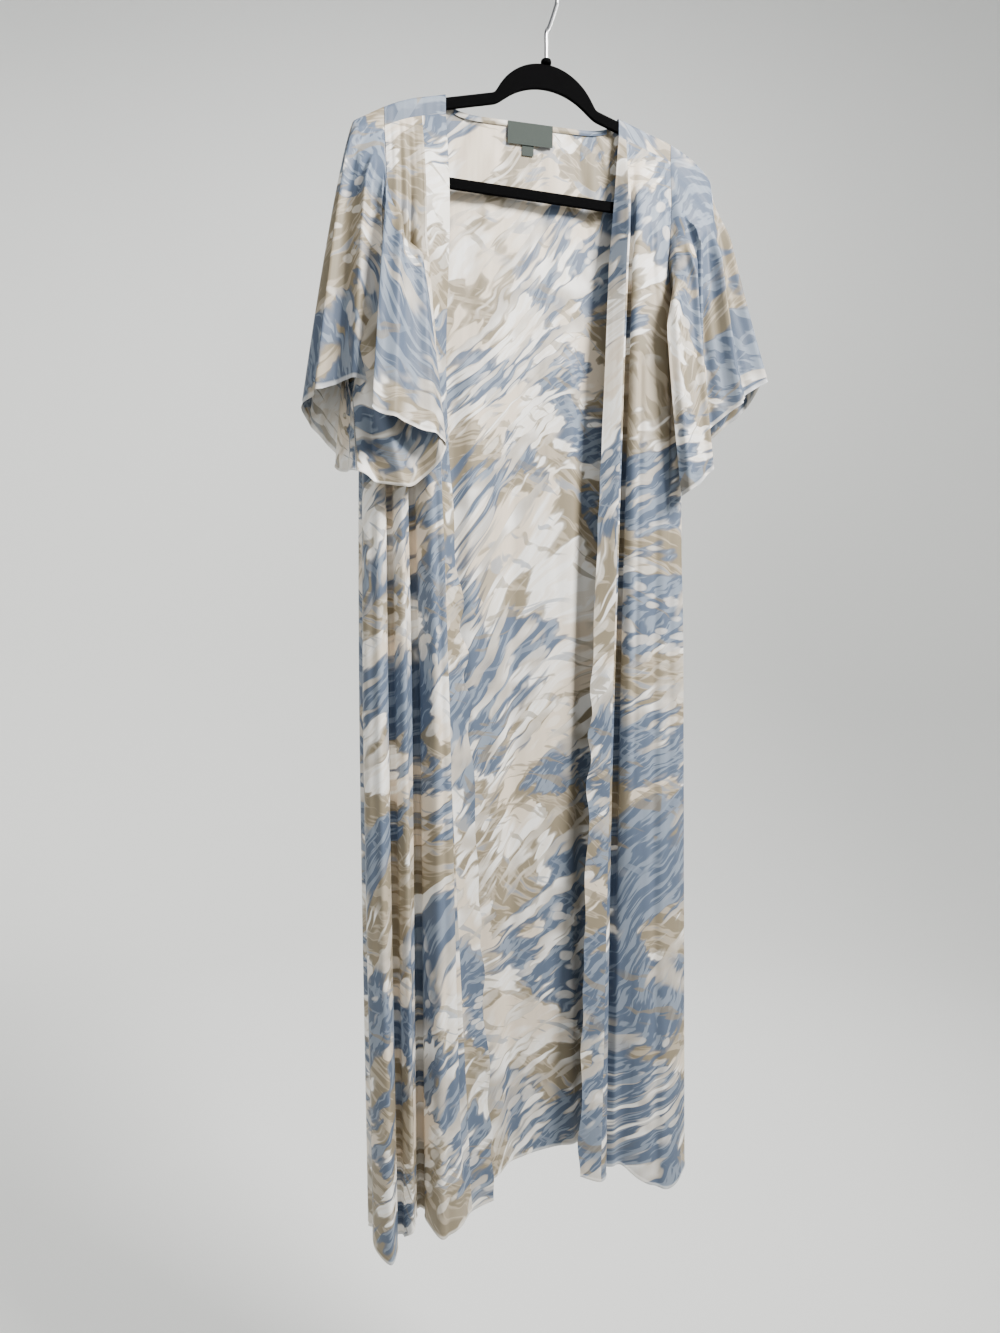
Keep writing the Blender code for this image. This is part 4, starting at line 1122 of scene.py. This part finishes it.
def with_pale_hem(tree, colour):
    """The rolled hem is a little paler than the cloth."""
    edge = attribute(tree, "hem_distance", "Fac")
    inside = step_between(tree, edge, HEM_WIDTH * HEM_PALE_SHARE, HEM_WIDTH)
    hem = maths(tree, "SUBTRACT", 1.0, inside)
    return mix_colour(tree, maths(tree, "MULTIPLY", hem, HEM_PALE), colour, WHITE)


def cloth_bump(tree, flat):
    """Soft lengthwise ripples and the grain of the crepe."""
    ripple = noise(tree, vector_maths(tree, "MULTIPLY", flat, RIPPLE_GRID), 1.0).outputs["Fac"]
    crepe = noise(tree, flat, CREPE_SCALE).outputs["Fac"]
    ripple_height = maths(tree, "MULTIPLY", ripple, RIPPLE_HEIGHT)
    crepe_height = maths(tree, "MULTIPLY", crepe, CREPE_HEIGHT)
    height = maths(tree, "ADD", ripple_height, crepe_height)
    inputs = {"Height": height, "Strength": BUMP_STRENGTH, "Distance": 1.0}
    return add_node(tree, "ShaderNodeBump", None, inputs).outputs[0]


def printed_cloth():
    """Light satin-faced crepe: printed, softly shining, with a paler rolled hem."""
    material, tree, shader = new_material("printed_cloth")
    flat = attribute(tree, "cloth_flat", "Vector")
    colour = with_pale_hem(tree, print_colour(tree, flat))
    tree.links.new(colour, shader.inputs["Base Color"])
    tree.links.new(cloth_bump(tree, flat), shader.inputs["Normal"])
    shader.inputs["Roughness"].default_value = CLOTH_ROUGHNESS
    shader.inputs["Specular IOR Level"].default_value = CLOTH_SPECULAR
    shader.inputs["Sheen Weight"].default_value = CLOTH_SHEEN
    shader.inputs["Sheen Roughness"].default_value = CLOTH_SHEEN_ROUGHNESS
    return material


def label_weave():
    """Plain grey-green tape with a fine cross-wise weave."""
    material, tree, shader = new_material("label_weave")
    grid = vector_maths(tree, "MULTIPLY", attribute(tree, "cloth_flat", "Vector"), LABEL_THREADS)
    threads = noise(tree, grid, 1.0, detail=1.0).outputs["Fac"]
    tree.links.new(mix_colour(tree, threads, LABEL_DARK, LABEL_LIGHT), shader.inputs["Base Color"])
    shader.inputs["Roughness"].default_value = LABEL_ROUGHNESS
    shader.inputs["Specular IOR Level"].default_value = LABEL_SPECULAR
    return material


def black_flock():
    """Short black velvet flock."""
    material, _, shader = new_material("black_flock")
    shader.inputs["Base Color"].default_value = FLOCK_BLACK
    shader.inputs["Roughness"].default_value = FLOCK_ROUGHNESS
    shader.inputs["Specular IOR Level"].default_value = FLOCK_SPECULAR
    return material


def bright_wire():
    """Plated wire."""
    material, _, shader = new_material("bright_wire")
    shader.inputs["Base Color"].default_value = WIRE_GREY
    shader.inputs["Metallic"].default_value = 1.0
    shader.inputs["Roughness"].default_value = WIRE_ROUGHNESS
    return material


# Surroundings
def make_backdrop():
    """A pale round floor that sweeps up into a wall on every side."""
    wall_radius = FLOOR_RADIUS + SWEEP_RADIUS
    profile = [(0.0, FLOOR_Z), (FLOOR_RADIUS, FLOOR_Z)]
    for angle in np.radians(np.linspace(SWEEP_START, 0, SWEEP_POINTS)):
        z = FLOOR_Z + SWEEP_RADIUS * (1 + math.sin(angle))
        profile.append((FLOOR_RADIUS + SWEEP_RADIUS * math.cos(angle), z))
    profile.append((wall_radius, WALL_TOP_Z))
    backdrop = new_object("backdrop", turned_mesh("backdrop", profile, WALL_SIDES))
    material, _, shader = new_material("backdrop")
    shader.inputs["Base Color"].default_value = BACKDROP_COLOUR
    shader.inputs["Roughness"].default_value = BACKDROP_ROUGHNESS
    backdrop.data.materials.append(material)


def add_area_light(name, location, target, size, spread, power, colour):
    light = bpy.data.lights.new(name, "AREA")
    light.size = size
    light.spread = math.radians(spread)
    light.energy = power
    light.color = colour
    lamp = new_object(name, light)
    lamp.location = location
    aim = Vector(target) - Vector(location)
    lamp.rotation_euler = aim.to_track_quat("-Z", "Y").to_euler()


def make_lights():
    for light in LIGHTS:
        add_area_light(*light)
    world = bpy.data.worlds.new("studio")
    world.use_nodes = True
    background = world.node_tree.nodes["Background"]
    background.inputs["Color"].default_value = WORLD_COLOUR
    background.inputs["Strength"].default_value = WORLD_STRENGTH
    bpy.context.scene.world = world


def make_camera():
    camera = bpy.data.cameras.new("camera")
    camera.lens = CAMERA_LENS
    camera.sensor_width = CAMERA_SENSOR
    holder = new_object("camera", camera)
    level = math.cos(CAMERA_PITCH)
    forward = Vector((math.sin(CAMERA_YAW) * level, math.cos(CAMERA_YAW) * level, -math.sin(CAMERA_PITCH)))
    holder.location = CAMERA_AT
    holder.rotation_euler = forward.to_track_quat("-Z", "Y").to_euler()
    bpy.context.scene.camera = holder


def make_coat(cloth, label):
    make_back(cloth)
    make_front(FRONT_RIGHT_FOLDS, -1, ("front_right", "band_right"), FRONT_RIGHT_CREASES, FRONT_RIGHT_FLAT,
               FRONT_RIGHT_CUTS, cloth)
    make_front(FRONT_LEFT_FOLDS, 1, ("front_left", "band_left"), FRONT_LEFT_CREASES, FRONT_LEFT_FLAT,
               FRONT_LEFT_CUTS, cloth)
    make_neck_binding(cloth)
    make_label("woven_label", "neck_label", LABEL_CENTRE_X, LABEL_SIZE, LABEL_DROP, LABEL_LIFT, label)
    tab_drop = LABEL_DROP + LABEL_SIZE[1] - TAB_TUCK
    make_label("woven_tab", "size_tab", TAB_CENTRE_X, TAB_SIZE, tab_drop, TAB_LIFT, label)
    make_sleeve("sleeve_right", SLEEVE_RIGHT_FOLDS, FRONT_RIGHT_FOLDS, -1, SLEEVE_RIGHT_CREASES,
                SLEEVE_RIGHT_FLAT, cloth)
    make_sleeve("sleeve_left", SLEEVE_LEFT_FOLDS, FRONT_LEFT_FOLDS, 1, SLEEVE_LEFT_CREASES,
                SLEEVE_LEFT_FLAT, cloth)


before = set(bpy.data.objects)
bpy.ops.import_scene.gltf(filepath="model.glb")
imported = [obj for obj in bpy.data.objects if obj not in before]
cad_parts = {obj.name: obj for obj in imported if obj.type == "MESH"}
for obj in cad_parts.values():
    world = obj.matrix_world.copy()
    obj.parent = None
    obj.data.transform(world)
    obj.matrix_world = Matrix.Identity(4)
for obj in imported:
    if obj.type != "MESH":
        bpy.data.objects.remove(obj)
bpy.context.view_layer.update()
flock = black_flock()
make_hanger_body(flock)
make_hanger_collar(flock)
make_hanger_hook(bright_wire())
make_coat(printed_cloth(), label_weave())
make_backdrop()
make_lights()
make_camera()
